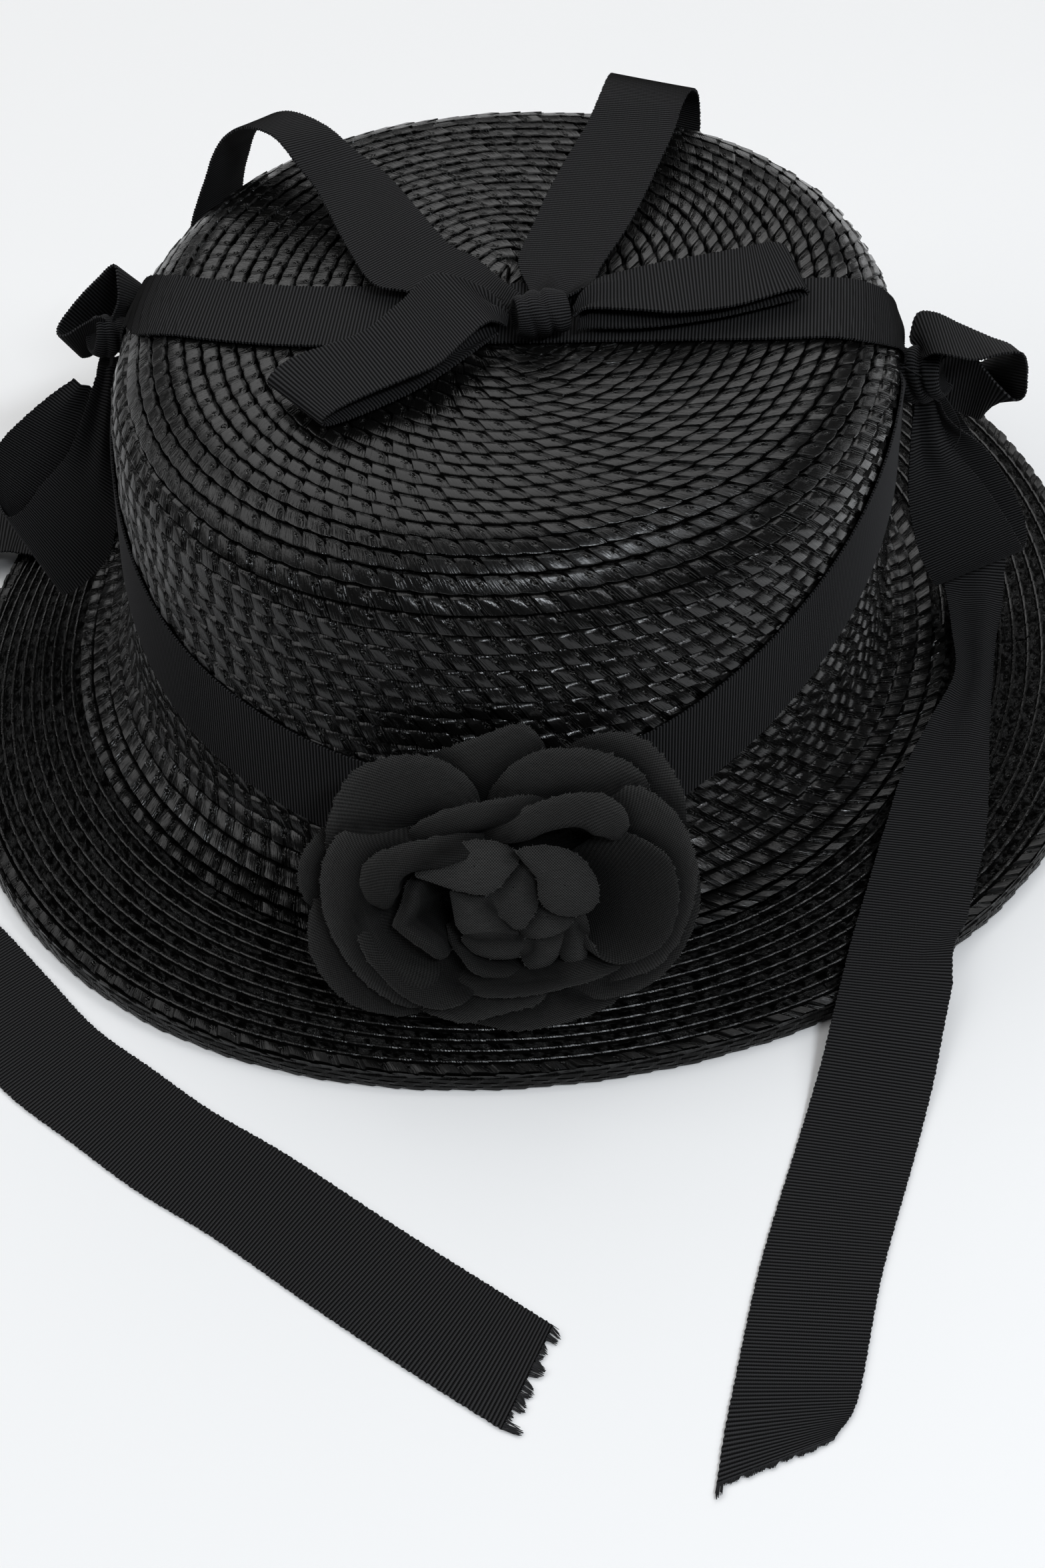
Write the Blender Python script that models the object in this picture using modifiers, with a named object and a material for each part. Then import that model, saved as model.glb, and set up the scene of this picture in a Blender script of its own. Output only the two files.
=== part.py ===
"""A boater hat: a sewn straw crown and brim, grosgrain ribbon bows and a cloth rose.

Lengths are written in millimetres and become metres where a mesh is made. +Z is up, the crown's
axis is upright, and the rose is at the front, towards -Y. Tables hold only a few stations each, and
smooth_rows runs an even curve through them.
"""

import math

import bmesh
import bpy
from mathutils import Matrix, Vector

MM = 0.001

# What every piece keeps clear of its neighbour, and how thick each stuff is.
GAP = 0.5
LAID_GAP = 0.9
FLOOR_GAP = 0.02
STRAW = 2.2
CLOTH = 1.0
RIBBON_WIDTH = 22.0

# The crown's plan: an oval, a little wider at the back, with slightly full corners.
CROWN_HALF_X = 84.0
CROWN_HALF_Y = 93.8
CROWN_EGG = 0.037
CROWN_CORNERS = 0.024
CROWN_TURN = -5.5

# The brim's plan. Its middle lies to the right of the crown's, and its corners are slightly cut.
BRIM_HALF_X = 130.6
BRIM_HALF_Y = 145.3
BRIM_EGG = -0.033
BRIM_CORNERS = -0.027
BRIM_TURN = -38.8
BRIM_MIDDLE = Vector((8.9, 1.0))

# Heights down the side.
TIP_HEIGHT = 92.7
TIP_DOME = 0.8
SHOULDER = 17.7
WALL_FOOT = 24.2
WALL_DRAFT = 0.051
FILLET = 15.0
FILLET_TURN = math.radians(81)
BRIM_EDGE_HEIGHT = 4.2
TIP_LEAN = 0.035

# The rows of braid stacked under the brim's edge, which the hat rests on.
EDGE_WIDTH = 8.5
EDGE_OUTER_HEIGHT = 1.4
EDGE_INNER_HEIGHT = 2.6

# Fineness of the mesh.
ROUND_STEPS = 60
RIBBON_STEPS = 2
LAID_COLUMNS = 4
FREE_COLUMNS = 3
PETAL_ROWS = 4
PETAL_COLUMNS = 8

# Where the hatband's middle runs round the crown: direction in degrees from +X, height, and width
# as a share of the ribbon's, because the ribbon is drawn together into the knots at the sides.
BAND_FRONT = (
    # direction, height, share
    (-191.0, 68.0, 0.40),
    (-184.0, 66.0, 0.75),
    (-170.0, 59.0, 1.0),
    (-155.0, 51.0, 1.0),
    (-140.0, 44.5, 1.0),
    (-122.0, 39.0, 1.0),
    (-106.0, 34.8, 1.0),
    (-90.0, 34.6, 1.0),
    (-74.0, 40.5, 1.0),
    (-60.0, 48.5, 1.0),
    (-48.0, 55.0, 1.0),
    (-34.0, 61.0, 1.0),
    (-20.0, 65.5, 1.0),
    (-8.0, 67.5, 0.75),
    (-1.5, 68.5, 0.40),
)
BAND_BACK = (
    # direction, height, share
    (6.0, 68.5, 0.40),
    (13.0, 66.5, 0.75),
    (26.0, 60.0, 1.0),
    (45.0, 48.0, 1.0),
    (66.0, 38.0, 1.0),
    (90.0, 35.5, 1.0),
    (112.0, 38.0, 1.0),
    (132.0, 48.0, 1.0),
    (147.0, 60.0, 1.0),
    (156.0, 66.0, 0.75),
    (162.5, 68.0, 0.40),
)

# Stations of each ribbon, as its two edges. Stations wider apart than the ribbon are drawn in to it.
CROSS_RIBBON = (
    # one edge: x, y, z; other edge: x, y, z
    (-84.0, 27.0, 78.5, -85.0, 18.0, 78.5),
    (-82.5, 24.0, 84.0, -84.5, 10.0, 84.0),
    (-77.5, 18.0, 90.0, -81.0, -1.0, 89.0),
    (-70.0, 13.0, 92.5, -73.0, -8.5, 92.0),
    (-54.0, 7.5, 93.5, -56.0, -14.5, 93.5),
    (-35.0, 4.0, 94.0, -37.0, -18.0, 94.0),
    (0.0, 2.0, 95.0, -1.0, -20.0, 95.0),
    (37.0, 0.5, 96.0, 35.0, -21.5, 96.0),
    (64.0, 0.0, 97.0, 61.5, -22.0, 97.0),
    (75.0, 1.5, 95.0, 72.5, -20.5, 95.0),
    (82.5, 4.0, 90.0, 80.5, -14.0, 90.0),
    (86.0, 6.5, 84.5, 85.0, -6.0, 84.5),
    (87.0, 7.5, 79.5, 86.5, -1.5, 79.5),
)
TOP_LOOP_LEFT = (
    # far edge: x, y, z; near edge: x, y, z
    (0.7, -17.6, 99.8, 0.7, -21.6, 99.8),
    (-5.3, -10.0, 101.3, -0.8, -22.0, 100.8),
    (-14.2, -5.5, 101.5, -4.4, -24.2, 101.0),
    (-21.5, -16.0, 101.0, -12.2, -36.0, 100.5),
    (-27.5, -23.5, 100.0, -19.0, -40.0, 99.5),
    (-34.6, -27.0, 99.0, -26.0, -43.5, 98.5),
    (-42.0, -30.0, 98.0, -31.5, -46.5, 97.5),
    (-46.3, -34.3, 96.6, -34.8, -48.6, 96.2),
    (-45.3, -34.0, 94.6, -34.2, -48.2, 94.6),
    (-36.0, -30.0, 95.0, -27.5, -45.0, 94.9),
    (-24.0, -24.0, 96.0, -16.5, -37.5, 95.6),
    (-13.0, -19.5, 97.0, -6.5, -28.0, 96.6),
    (-2.0, -18.0, 97.8, -1.0, -22.5, 97.8),
)
TOP_LOOP_RIGHT = (
    # far edge: x, y, z; near edge: x, y, z
    (14.3, -16.2, 100.4, 14.2, -20.4, 100.2),
    (18.0, -8.0, 101.3, 17.5, -19.0, 101.0),
    (27.5, -3.5, 101.3, 27.4, -19.5, 101.2),
    (35.0, -1.1, 101.3, 35.4, -20.2, 101.2),
    (47.9, 3.1, 101.2, 46.8, -17.9, 101.1),
    (56.0, 6.0, 101.0, 59.0, -11.8, 100.9),
    (59.3, 6.3, 99.8, 62.0, -10.8, 99.7),
    (57.5, 5.5, 98.4, 60.5, -11.0, 98.4),
    (47.0, 2.0, 98.1, 46.5, -16.5, 98.1),
    (35.0, -2.5, 98.0, 35.3, -19.3, 98.0),
    (27.0, -5.0, 97.9, 27.0, -20.3, 97.9),
    (19.0, -10.5, 97.9, 18.5, -19.5, 97.9),
    (15.2, -16.0, 98.0, 15.0, -20.5, 98.0),
)
TOP_TAIL_LEFT = (
    # near edge: x, y, z; far edge: x, y, z
    (1.3, -15.0, 98.8, 5.2, -12.6, 98.8),
    (-10.6, -10.2, 97.2, -1.4, 0.2, 97.2),
    (-20.0, -4.5, 97.0, -6.0, 8.5, 97.0),
    (-27.2, -1.2, 97.0, -11.4, 13.8, 97.0),
    (-33.0, 10.8, 98.5, -18.1, 26.1, 98.0),
    (-39.8, 28.2, 101.5, -25.5, 43.0, 97.2),
    (-44.0, 34.4, 104.0, -33.0, 52.0, 98.5),
    (-49.9, 42.9, 107.0, -40.0, 60.0, 100.5),
    (-56.5, 47.6, 107.0, -48.0, 66.0, 101.0),
    (-61.5, 49.4, 104.0, -54.0, 68.8, 98.5),
    (-65.0, 50.0, 99.0, -57.5, 70.5, 94.0),
    (-67.5, 50.5, 93.0, -59.5, 71.5, 88.5),
    (-70.0, 51.6, 87.0, -61.2, 72.6, 83.0),
    (-72.6, 53.5, 79.0, -62.6, 73.3, 76.0),
    (-74.6, 55.3, 66.0, -63.6, 74.1, 64.0),
    (-75.8, 56.3, 52.0, -64.4, 75.0, 51.0),
    (-76.5, 56.8, 36.0, -65.0, 75.5, 40.0),
)
TOP_TAIL_RIGHT = (
    # left edge: x, y, z; right edge: x, y, z
    (6.8, -12.5, 98.8, 11.2, -13.0, 98.8),
    (5.0, -3.0, 97.4, 18.0, -4.0, 97.4),
    (3.2, 6.7, 97.2, 21.0, 5.0, 97.4),
    (6.5, 19.9, 97.9, 26.0, 16.6, 98.0),
    (9.9, 32.2, 98.8, 30.5, 28.8, 99.0),
    (14.2, 44.9, 99.8, 34.5, 41.4, 100.0),
    (19.0, 57.2, 101.3, 38.5, 53.6, 101.5),
    (22.0, 67.0, 102.7, 41.0, 63.2, 103.0),
    (24.5, 78.0, 102.2, 43.5, 72.0, 102.0),
    (26.2, 87.0, 98.5, 45.8, 79.5, 97.5),
    (26.9, 92.0, 91.5, 47.0, 84.0, 90.5),
    (27.1, 95.0, 82.0, 47.6, 86.4, 81.0),
    (27.3, 96.3, 68.0, 48.1, 87.6, 67.0),
    (27.5, 97.2, 54.0, 48.4, 88.6, 53.0),
    (27.6, 97.8, 38.0, 48.7, 89.3, 42.0),
)
RIGHT_UP_LOOP = (
    # near edge: x, y, z; far edge: x, y, z
    (90.8, -1.0, 78.8, 88.2, 12.0, 77.0),
    (94.2, -5.0, 80.8, 91.8, 13.0, 81.0),
    (99.6, -7.0, 81.6, 99.6, 13.5, 78.8),
    (105.5, -7.0, 82.0, 108.0, 13.0, 73.0),
    (110.0, -7.0, 80.5, 114.5, 13.0, 69.5),
    (111.3, -7.0, 75.5, 116.5, 13.0, 64.5),
    (110.0, -7.0, 69.5, 115.5, 13.0, 60.0),
    (105.0, -7.0, 66.0, 110.0, 12.5, 58.5),
    (101.0, -5.5, 66.0, 104.0, 11.0, 61.5),
    (98.6, -0.5, 67.5, 99.3, 8.0, 66.0),
)
RIGHT_DOWN_LOOP = (
    # left edge: x, y, z; right edge: x, y, z
    (89.8, 1.5, 64.1, 94.0, 1.5, 64.2),
    (88.8, -4.5, 55.0, 98.0, -3.5, 56.0),
    (90.0, -6.0, 42.0, 106.0, -4.0, 46.0),
    (94.0, -6.0, 28.0, 112.8, -4.0, 36.0),
    (98.3, -5.5, 19.0, 117.3, -4.0, 28.5),
    (100.2, -2.5, 15.8, 119.3, -1.0, 24.5),
    (101.0, 1.5, 17.0, 120.8, 4.0, 25.5),
    (98.5, 5.0, 27.0, 117.8, 7.0, 33.0),
    (94.8, 6.0, 42.0, 109.0, 7.5, 46.5),
    (91.8, 6.0, 54.0, 99.5, 6.5, 55.5),
    (91.0, 5.0, 61.5, 96.0, 5.0, 62.0),
)
RIGHT_TAIL = (
    # left edge: x, y, z; right edge: x, y, z; 1 where it lies on the straw
    (90.5, 8.7, 64.6, 95.5, 8.9, 64.8, 0),
    (92.5, 14.0, 52.0, 103.0, 13.0, 52.0, 0),
    (97.5, 15.0, 36.0, 113.0, 14.0, 36.0, 0),
    (101.5, 11.0, 21.5, 118.0, 11.0, 21.5, 0),
    (103.0, 0.0, 12.0, 117.0, 0.0, 10.5, 0.5),
    (102.5, -14.0, 10.5, 113.0, -15.0, 9.5, 1),
    (101.0, -28.0, 10.5, 110.0, -29.0, 9.5, 1),
    (93.5, -43.0, 10.5, 107.0, -43.5, 9.5, 1),
    (85.0, -60.0, 10.5, 104.0, -61.0, 9.0, 1),
    (79.5, -75.0, 9.5, 101.0, -76.0, 8.0, 1),
    (73.5, -91.0, 8.0, 96.0, -92.5, 6.5, 1),
    (69.3, -103.0, 6.6, 91.7, -105.0, 6.4, 0.5),
    (65.8, -114.0, 6.3, 88.3, -116.0, 5.0, 0),
    (62.8, -124.0, 5.3, 85.0, -126.5, 3.4, 0),
    (60.0, -133.0, 3.0, 82.0, -136.5, 1.7, 0),
    (56.5, -142.5, 1.1, 78.7, -146.5, 0.7, 0),
    (53.2, -152.0, 0.5, 75.2, -156.0, 0.5, 0),
    (44.2, -178.0, 0.5, 66.3, -180.0, 0.5, 0),
    (37.0, -204.0, 0.5, 59.3, -204.0, 0.5, 0),
    (31.5, -221.0, 0.5, 55.8, -211.5, 0.5, 0),
)
LEFT_UP_LOOP = (
    # near edge: x, y, z; far edge: x, y, z
    (-88.5, 20.0, 78.0, -87.5, 26.0, 77.5),
    (-86.8, 27.0, 80.2, -85.0, 44.0, 71.0),
    (-87.3, 30.5, 82.8, -86.5, 47.0, 72.5),
    (-90.3, 30.5, 82.2, -89.0, 48.0, 71.5),
    (-94.0, 29.0, 80.3, -92.5, 46.5, 69.5),
    (-97.5, 26.0, 77.0, -96.5, 44.0, 66.5),
    (-100.1, 23.0, 73.6, -99.5, 42.0, 63.5),
    (-100.6, 20.5, 71.0, -100.0, 39.0, 60.8),
    (-98.5, 19.5, 70.3, -97.6, 36.5, 60.5),
    (-96.0, 21.0, 70.8, -95.6, 27.5, 68.0),
)
LEFT_DOWN_LOOP = (
    # upper edge: x, y, z; lower edge: x, y, z
    (-91.6, 19.8, 63.8, -87.6, 19.6, 63.8),
    (-95.6, 10.0, 56.0, -88.7, 7.5, 50.5),
    (-98.8, 7.0, 49.8, -88.9, 3.0, 42.5),
    (-103.0, 6.0, 45.0, -90.0, 1.0, 32.5),
    (-109.0, 6.0, 38.5, -94.0, 0.5, 22.0),
    (-113.5, 6.5, 33.5, -101.0, 0.5, 14.8),
    (-116.5, 8.5, 30.5, -105.8, 2.5, 12.3),
    (-119.0, 12.5, 31.5, -106.5, 7.5, 14.0),
    (-120.0, 15.0, 39.0, -104.0, 11.0, 24.0),
    (-116.4, 15.3, 46.5, -99.5, 13.0, 33.5),
    (-111.0, 15.8, 52.0, -96.5, 14.5, 42.5),
    (-103.5, 16.5, 58.0, -93.8, 16.0, 52.0),
    (-97.5, 17.6, 61.8, -92.8, 17.6, 58.8),
)
LEFT_TAIL = (
    # hat's side: x, y, z; outer side: x, y, z; 1 where it lies on the straw
    (-87.0, 24.5, 63.2, -92.0, 26.0, 63.6, 0),
    (-90.0, 24.0, 51.0, -95.0, 33.0, 51.0, 0),
    (-94.0, 23.0, 36.0, -95.0, 40.0, 35.0, 0),
    (-99.0, 23.0, 19.0, -98.0, 43.0, 19.0, 0),
    (-107.0, 24.0, 10.8, -106.0, 45.0, 10.8, 0.5),
    (-116.0, 24.5, 9.0, -116.0, 46.5, 9.0, 1),
    (-125.0, 25.0, 7.2, -126.5, 47.0, 7.2, 0),
    (-133.0, 22.5, 4.8, -138.0, 44.0, 4.6, 0),
    (-139.0, 17.0, 1.8, -150.5, 36.0, 1.8, 0),
    (-142.5, 7.0, 0.5, -162.0, 18.0, 0.5, 0),
    (-143.5, -8.0, 0.5, -165.5, -6.0, 0.5, 0),
    (-142.0, -27.0, 0.5, -164.0, -31.0, 0.5, 0),
    (-136.5, -47.0, 0.5, -157.0, -55.0, 0.5, 0),
    (-128.5, -65.0, 0.5, -147.0, -77.0, 0.5, 0),
    (-117.5, -81.0, 0.5, -134.5, -95.0, 0.5, 0),
    (-105.0, -95.0, 0.5, -121.5, -109.5, 0.5, 0),
    (-94.6, -107.4, 0.5, -111.0, -122.0, 0.5, 0),
    (-83.4, -120.5, 0.5, -98.5, -136.5, 0.5, 0),
    (-70.9, -130.7, 0.5, -84.5, -148.5, 0.5, 0),
    (-58.5, -141.0, 0.5, -71.0, -159.5, 0.5, 0),
    (-43.2, -151.3, 0.5, -55.5, -170.5, 0.5, 0),
    (-24.4, -166.0, 0.5, -38.0, -184.0, 0.5, 0),
    (-10.2, -177.0, 0.5, -23.0, -195.0, 0.5, 0),
    (7.0, -188.5, 0.5, -3.0, -210.5, 0.5, 0),
)

# Each knot is a short barrel of folded ribbon: its middle, and half its size along X, Y and Z.
KNOTS = (
    # name, middle, half size
    ("top_knot", (7.5, -18.5, 100.3), (6.2, 5.6, 4.4)),
    ("right_knot", (91.7, 4.5, 70.4), (6.0, 6.0, 7.0)),
    ("left_knot", (-88.9, 22.5, 70.0), (6.2, 5.4, 7.0)),
)

# The rose. Its face leans back on the crown, square to ROSE_LOOKS.
ROSE_MIDDLE = Vector((-1.2, -114.7, 32.6))
ROSE_LOOKS = Vector((0.0, -0.872, 0.489))
ROSE_DEPTH = 10.0
ROSE_CUP = 9.0
ROSE_REACH = 38.0
LAYER_RISE = 1.5
STEM_RADIUS = 3.0
STEM_BACK = -17.0
STEM_FRONT = 0.4
PETAL_ROOT = 3.6
PETAL_ROOT_WIDTH = 0.18
PETAL_SHOULDER = 0.60
PETALS = (
    # name, direction in degrees, reach, half width, layer from the back
    ("petal_outer_right_top", 42.0, 39.5, 15.5, 0),
    ("petal_outer_left", 172.0, 40.0, 15.0, 0),
    ("petal_outer_bottom_right", -62.0, 27.0, 14.5, 0),
    ("petal_outer_top", 96.0, 33.5, 14.5, 1),
    ("petal_outer_right_bottom", -30.0, 35.5, 16.5, 1),
    ("petal_outer_left_bottom", -156.0, 38.5, 17.0, 1),
    ("petal_second_right_top", 56.0, 34.5, 15.5, 2),
    ("petal_second_left_top", 145.0, 37.0, 16.5, 2),
    ("petal_second_bottom", -105.0, 28.0, 16.0, 2),
    ("petal_second_right", 9.0, 37.5, 18.5, 3),
    ("petal_second_left", 170.0, 35.5, 17.0, 3),
    ("petal_middle_right", -4.0, 33.0, 16.5, 4),
    ("petal_middle_left_bottom", -142.0, 28.5, 15.0, 4),
    ("petal_middle_top", 112.0, 20.5, 14.0, 4),
    ("petal_middle_right_top", 46.0, 27.0, 13.0, 5),
    ("petal_middle_left", 164.0, 26.5, 12.5, 5),
    ("petal_middle_bottom", -78.0, 19.5, 13.0, 6),
)
INNER_PETALS = (
    # name, direction in degrees, half the arc it covers, radius, height of its foot and of its rim
    ("petal_inner_left", -172.0, 50.0, 14.5, 1.2, 11.0),
    ("petal_inner_top", 105.0, 75.0, 10.7, 0.1, 12.5),
    ("petal_inner_right", 12.0, 50.0, 14.0, 0.7, 12.0),
    ("petal_inner_bottom", -85.0, 60.0, 18.0, 3.0, 9.5),
)
BUD_MIDDLE = 8.0
BUD_HALF = (8.0, 7.4, 7.0)


def clear_scene():
    for thing in list(bpy.data.objects):
        bpy.data.objects.remove(thing, do_unlink=True)


def new_collection(name):
    collection = bpy.data.collections.new(name)
    bpy.context.scene.collection.children.link(collection)
    return collection


def new_material(name, colour, roughness):
    material = bpy.data.materials.new(name)
    material.use_nodes = True
    shader = material.node_tree.nodes["Principled BSDF"]
    shader.inputs["Base Color"].default_value = (*colour, 1.0)
    shader.inputs["Roughness"].default_value = roughness
    shader.inputs["Metallic"].default_value = 0.0
    return material


def new_piece(name, points, faces, collection, material):
    """A smooth-shaded mesh object from points in millimetres."""
    mesh = bpy.data.meshes.new(name)
    mesh.from_pydata([Vector(point) * MM for point in points], [], faces)
    mesh.shade_smooth()
    piece = bpy.data.objects.new(name, mesh)
    collection.objects.link(piece)
    if material:
        mesh.materials.append(material)
    return piece


def grid_faces(rows, columns, round_rows=False):
    """Quads of a grid whose points are listed row by row. Round rows close on themselves."""
    across = columns if round_rows else columns - 1
    faces = []
    for row in range(rows - 1):
        for column in range(across):
            a = row * columns + column
            b = row * columns + (column + 1) % columns
            faces.append((a, a + columns, b + columns, b))
    return faces


def thicken(piece, thickness, offset):
    solidify = piece.modifiers.new("thickness", "SOLIDIFY")
    solidify.thickness = thickness * MM
    solidify.offset = offset


def lerp(a, b, share):
    return a + (b - a) * share


def smooth_rows(rows, steps):
    """Points of an even curve through the rows, with so many steps from each row to the next."""
    rows = [Vector(row) for row in rows]
    padded = [2 * rows[0] - rows[1], *rows, 2 * rows[-1] - rows[-2]]
    curve = []
    for before, start, end, after in zip(padded, padded[1:], padded[2:], padded[3:]):
        for step in range(steps):
            t = step / steps
            slope = end - before
            swing = 2 * before - 5 * start + 4 * end - after
            twist = 3 * (start - end) + after - before
            curve.append(start + (slope * t + swing * t**2 + twist * t**3) / 2)
    curve.append(rows[-1])
    return curve


def oval(angle, half_x, half_y, egg, corners, turn):
    """A point of an oval in plan, at the angle that it has before the oval is turned."""
    full = 1 + corners * (1 - math.cos(4 * angle)) / 2
    x = half_x * math.cos(angle) * full * (1 + egg * math.sin(angle))
    y = half_y * math.sin(angle) * full
    return Matrix.Rotation(math.radians(turn), 2) @ Vector((x, y))


def seen_from_axis(plan, direction):
    """The point of a closed plan that lies in this direction from the crown's axis."""
    angle = direction
    for _ in range(12):
        point = plan(angle)
        miss = direction - math.atan2(point.y, point.x)
        angle += math.remainder(miss, 2 * math.pi)
    return point


def crown_plan(direction, grow):
    return seen_from_axis(
        lambda angle: oval(
            angle, CROWN_HALF_X + grow, CROWN_HALF_Y + grow, CROWN_EGG, CROWN_CORNERS, CROWN_TURN
        ),
        direction,
    )


def brim_plan(direction, grow=0.0):
    return seen_from_axis(
        lambda angle: BRIM_MIDDLE
        + oval(angle, BRIM_HALF_X + grow, BRIM_HALF_Y + grow, BRIM_EGG, BRIM_CORNERS, BRIM_TURN),
        direction,
    )


def wall_grow(height):
    """How much wider than its top the wall is at this height."""
    return WALL_DRAFT * (TIP_HEIGHT - SHOULDER - height)


def leaning(x, y, height):
    """The crown leans a little: its right side stands higher."""
    rise = max(0.0, height - WALL_FOOT) / (TIP_HEIGHT - WALL_FOOT)
    return Vector((x, y, height + TIP_LEAN * x * rise))


def hat_point(direction, stage):
    """A point of the straw's outer face.

    Stages 0 to 1 cross the flat tip, 1 to 2 the shoulder, 2 to 3 the wall, 3 to 4 the fillet
    and 4 to 5 the brim.
    """
    zone = min(int(stage), 4)
    part = stage - zone
    turn = part * math.pi / 2
    if zone == 0:
        plan = crown_plan(direction, -SHOULDER) * part
        height = TIP_HEIGHT + TIP_DOME * (1 - part**2)
    elif zone == 1:
        plan = crown_plan(direction, SHOULDER * (math.sin(turn) - 1))
        height = TIP_HEIGHT + SHOULDER * (math.cos(turn) - 1)
    elif zone == 2:
        height = lerp(TIP_HEIGHT - SHOULDER, WALL_FOOT, part)
        plan = crown_plan(direction, wall_grow(height))
    elif zone == 3:
        plan = crown_plan(direction, wall_grow(WALL_FOOT) + FILLET * (1 - math.cos(part * FILLET_TURN)))
        height = WALL_FOOT - FILLET * math.sin(part * FILLET_TURN)
    else:
        inner = crown_plan(direction, wall_grow(WALL_FOOT) + FILLET * (1 - math.cos(FILLET_TURN)))
        plan = inner.lerp(brim_plan(direction), part)
        height = lerp(WALL_FOOT - FILLET * math.sin(FILLET_TURN), BRIM_EDGE_HEIGHT, part)
    return leaning(plan.x, plan.y, height)


def straw_sheet(name, stages, collection, material):
    """The straw's outer face between these stages, as an open surface."""
    pole = stages[0] == 0
    rings = stages[1:] if pole else stages
    directions = [2 * math.pi * step / ROUND_STEPS for step in range(ROUND_STEPS)]
    points = [hat_point(direction, stage) for stage in rings for direction in directions]
    faces = grid_faces(len(rings), ROUND_STEPS, round_rows=True)
    if pole:
        points.append(hat_point(0.0, 0.0))
        middle = len(points) - 1
        faces += [(middle, step, (step + 1) % ROUND_STEPS) for step in range(ROUND_STEPS)]
    return new_piece(name, points, faces, collection, material)


def brim_edge(collection, material):
    """The stacked rows under the brim's edge: a ring with a flat foot."""
    section = (
        (0.4, 0.0),
        (-EDGE_WIDTH, 0.0),
        (-EDGE_WIDTH, EDGE_INNER_HEIGHT),
        (0.4, EDGE_OUTER_HEIGHT),
    )
    points = []
    for step in range(ROUND_STEPS):
        direction = 2 * math.pi * step / ROUND_STEPS
        points += [(*brim_plan(direction, grow), height) for grow, height in section]
    corners = len(section)
    faces = []
    for step in range(ROUND_STEPS):
        for corner in range(corners):
            a = step * corners + corner
            b = step * corners + (corner + 1) % corners
            c = (step + 1) % ROUND_STEPS * corners
            faces.append((a, b, c + (corner + 1) % corners, c + corner))
    ring = new_piece("brim_edge_rows", points, faces, collection, material)
    ring.data.shade_flat()
    return ring


def ribbon_points(rows, columns, most_width=RIBBON_WIDTH * 1.12):
    """Grid points of a ribbon from rows that hold its two edges."""
    points = []
    for row in smooth_rows(rows, RIBBON_STEPS):
        one, other = Vector(row[:3]), Vector(row[3:6])
        middle = (one + other) / 2
        half = (other - one) / 2
        half *= min(1.0, most_width / 2 / half.length)
        middle.z = max(middle.z, CLOTH / 2 + FLOOR_GAP)
        points += [middle + half * (2 * column / (columns - 1) - 1) for column in range(columns)]
    return points


def lay_on(piece, form, weights=None):
    """Draws the piece, or its weighted points, onto the straw with a clear gap under the cloth."""
    wrap = piece.modifiers.new("laid on the straw", "SHRINKWRAP")
    wrap.target = form
    wrap.wrap_mode = "OUTSIDE_SURFACE"
    wrap.wrap_method = "NEAREST_SURFACEPOINT"
    wrap.offset = (LAID_GAP + CLOTH / 2) * MM
    if weights:
        group = piece.vertex_groups.new(name="laid")
        for index, weight in enumerate(weights):
            group.add([index], min(1.0, max(0.0, weight)), "REPLACE")
        wrap.vertex_group = group.name


def ribbon(name, rows, collection, material, form=None):
    """A ribbon through the rows. With a form it lies on it, all along or where a row's last value says."""
    columns = LAID_COLUMNS if form and len(rows[0]) == 6 else FREE_COLUMNS
    points = ribbon_points(rows, columns)
    piece = new_piece(name, points, grid_faces(len(points) // columns, columns), collection, material)
    if form:
        weights = None
        if len(rows[0]) == 7:
            weights = [row[6] for row in smooth_rows(rows, RIBBON_STEPS) for _ in range(columns)]
        lay_on(piece, form, weights)
    thicken(piece, CLOTH, 0.0)
    return piece


def band_stations(rows):
    """Stations of the hatband wherever the straw's mesh has a line of points, so the two run parallel."""
    curve = smooth_rows(rows, 8)
    first, last = curve[0].x, curve[-1].x
    step = 360 / ROUND_STEPS
    lines = range(math.ceil(first / step + 0.3), math.floor(last / step - 0.3) + 1)
    for direction in [first, *(line * step for line in lines), last]:
        index = next(i for i in range(1, len(curve)) if curve[i].x >= direction - 1e-6)
        before, after = curve[index - 1], curve[index]
        yield before.lerp(after, (direction - before.x) / (after.x - before.x))


def band(name, rows, collection, material):
    """A stretch of the hatband, standing off the wall by the gap."""
    points = []
    stations = list(band_stations(rows))
    for degrees, height, share in stations:
        for column in range(LAID_COLUMNS):
            across = (2 * column / (LAID_COLUMNS - 1) - 1) * RIBBON_WIDTH / 2 * share
            level = height + across
            grow = wall_grow(level) + GAP + CLOTH / 2
            plan = crown_plan(math.radians(degrees), grow)
            points.append(leaning(plan.x, plan.y, level))
    piece = new_piece(name, points, grid_faces(len(stations), LAID_COLUMNS), collection, material)
    thicken(piece, CLOTH, 0.0)
    return piece


def ball(name, middle, half_size, turn, collection, material):
    """A rounded lump: a sphere drawn out to the half sizes and turned."""
    shape = bmesh.new()
    bmesh.ops.create_uvsphere(shape, u_segments=14, v_segments=8, radius=1.0)
    scale = Matrix.Diagonal((*[size * MM for size in half_size], 1.0))
    place = Matrix.Translation(Vector(middle) * MM) @ turn.to_4x4() @ scale
    bmesh.ops.transform(shape, matrix=place, verts=shape.verts)
    mesh = bpy.data.meshes.new(name)
    shape.to_mesh(mesh)
    shape.free()
    mesh.shade_smooth()
    mesh.materials.append(material)
    piece = bpy.data.objects.new(name, mesh)
    collection.objects.link(piece)
    return piece


def rose_frame():
    """Columns are the rose's right, its up and the way that it looks."""
    looks = ROSE_LOOKS.normalized()
    right = Vector((1.0, 0.0, 0.0))
    up = looks.cross(right)
    return Matrix((right, up, looks)).transposed()


def rose_point(frame, right, up, out):
    return ROSE_MIDDLE + frame @ Vector((right, up, out))


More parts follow.
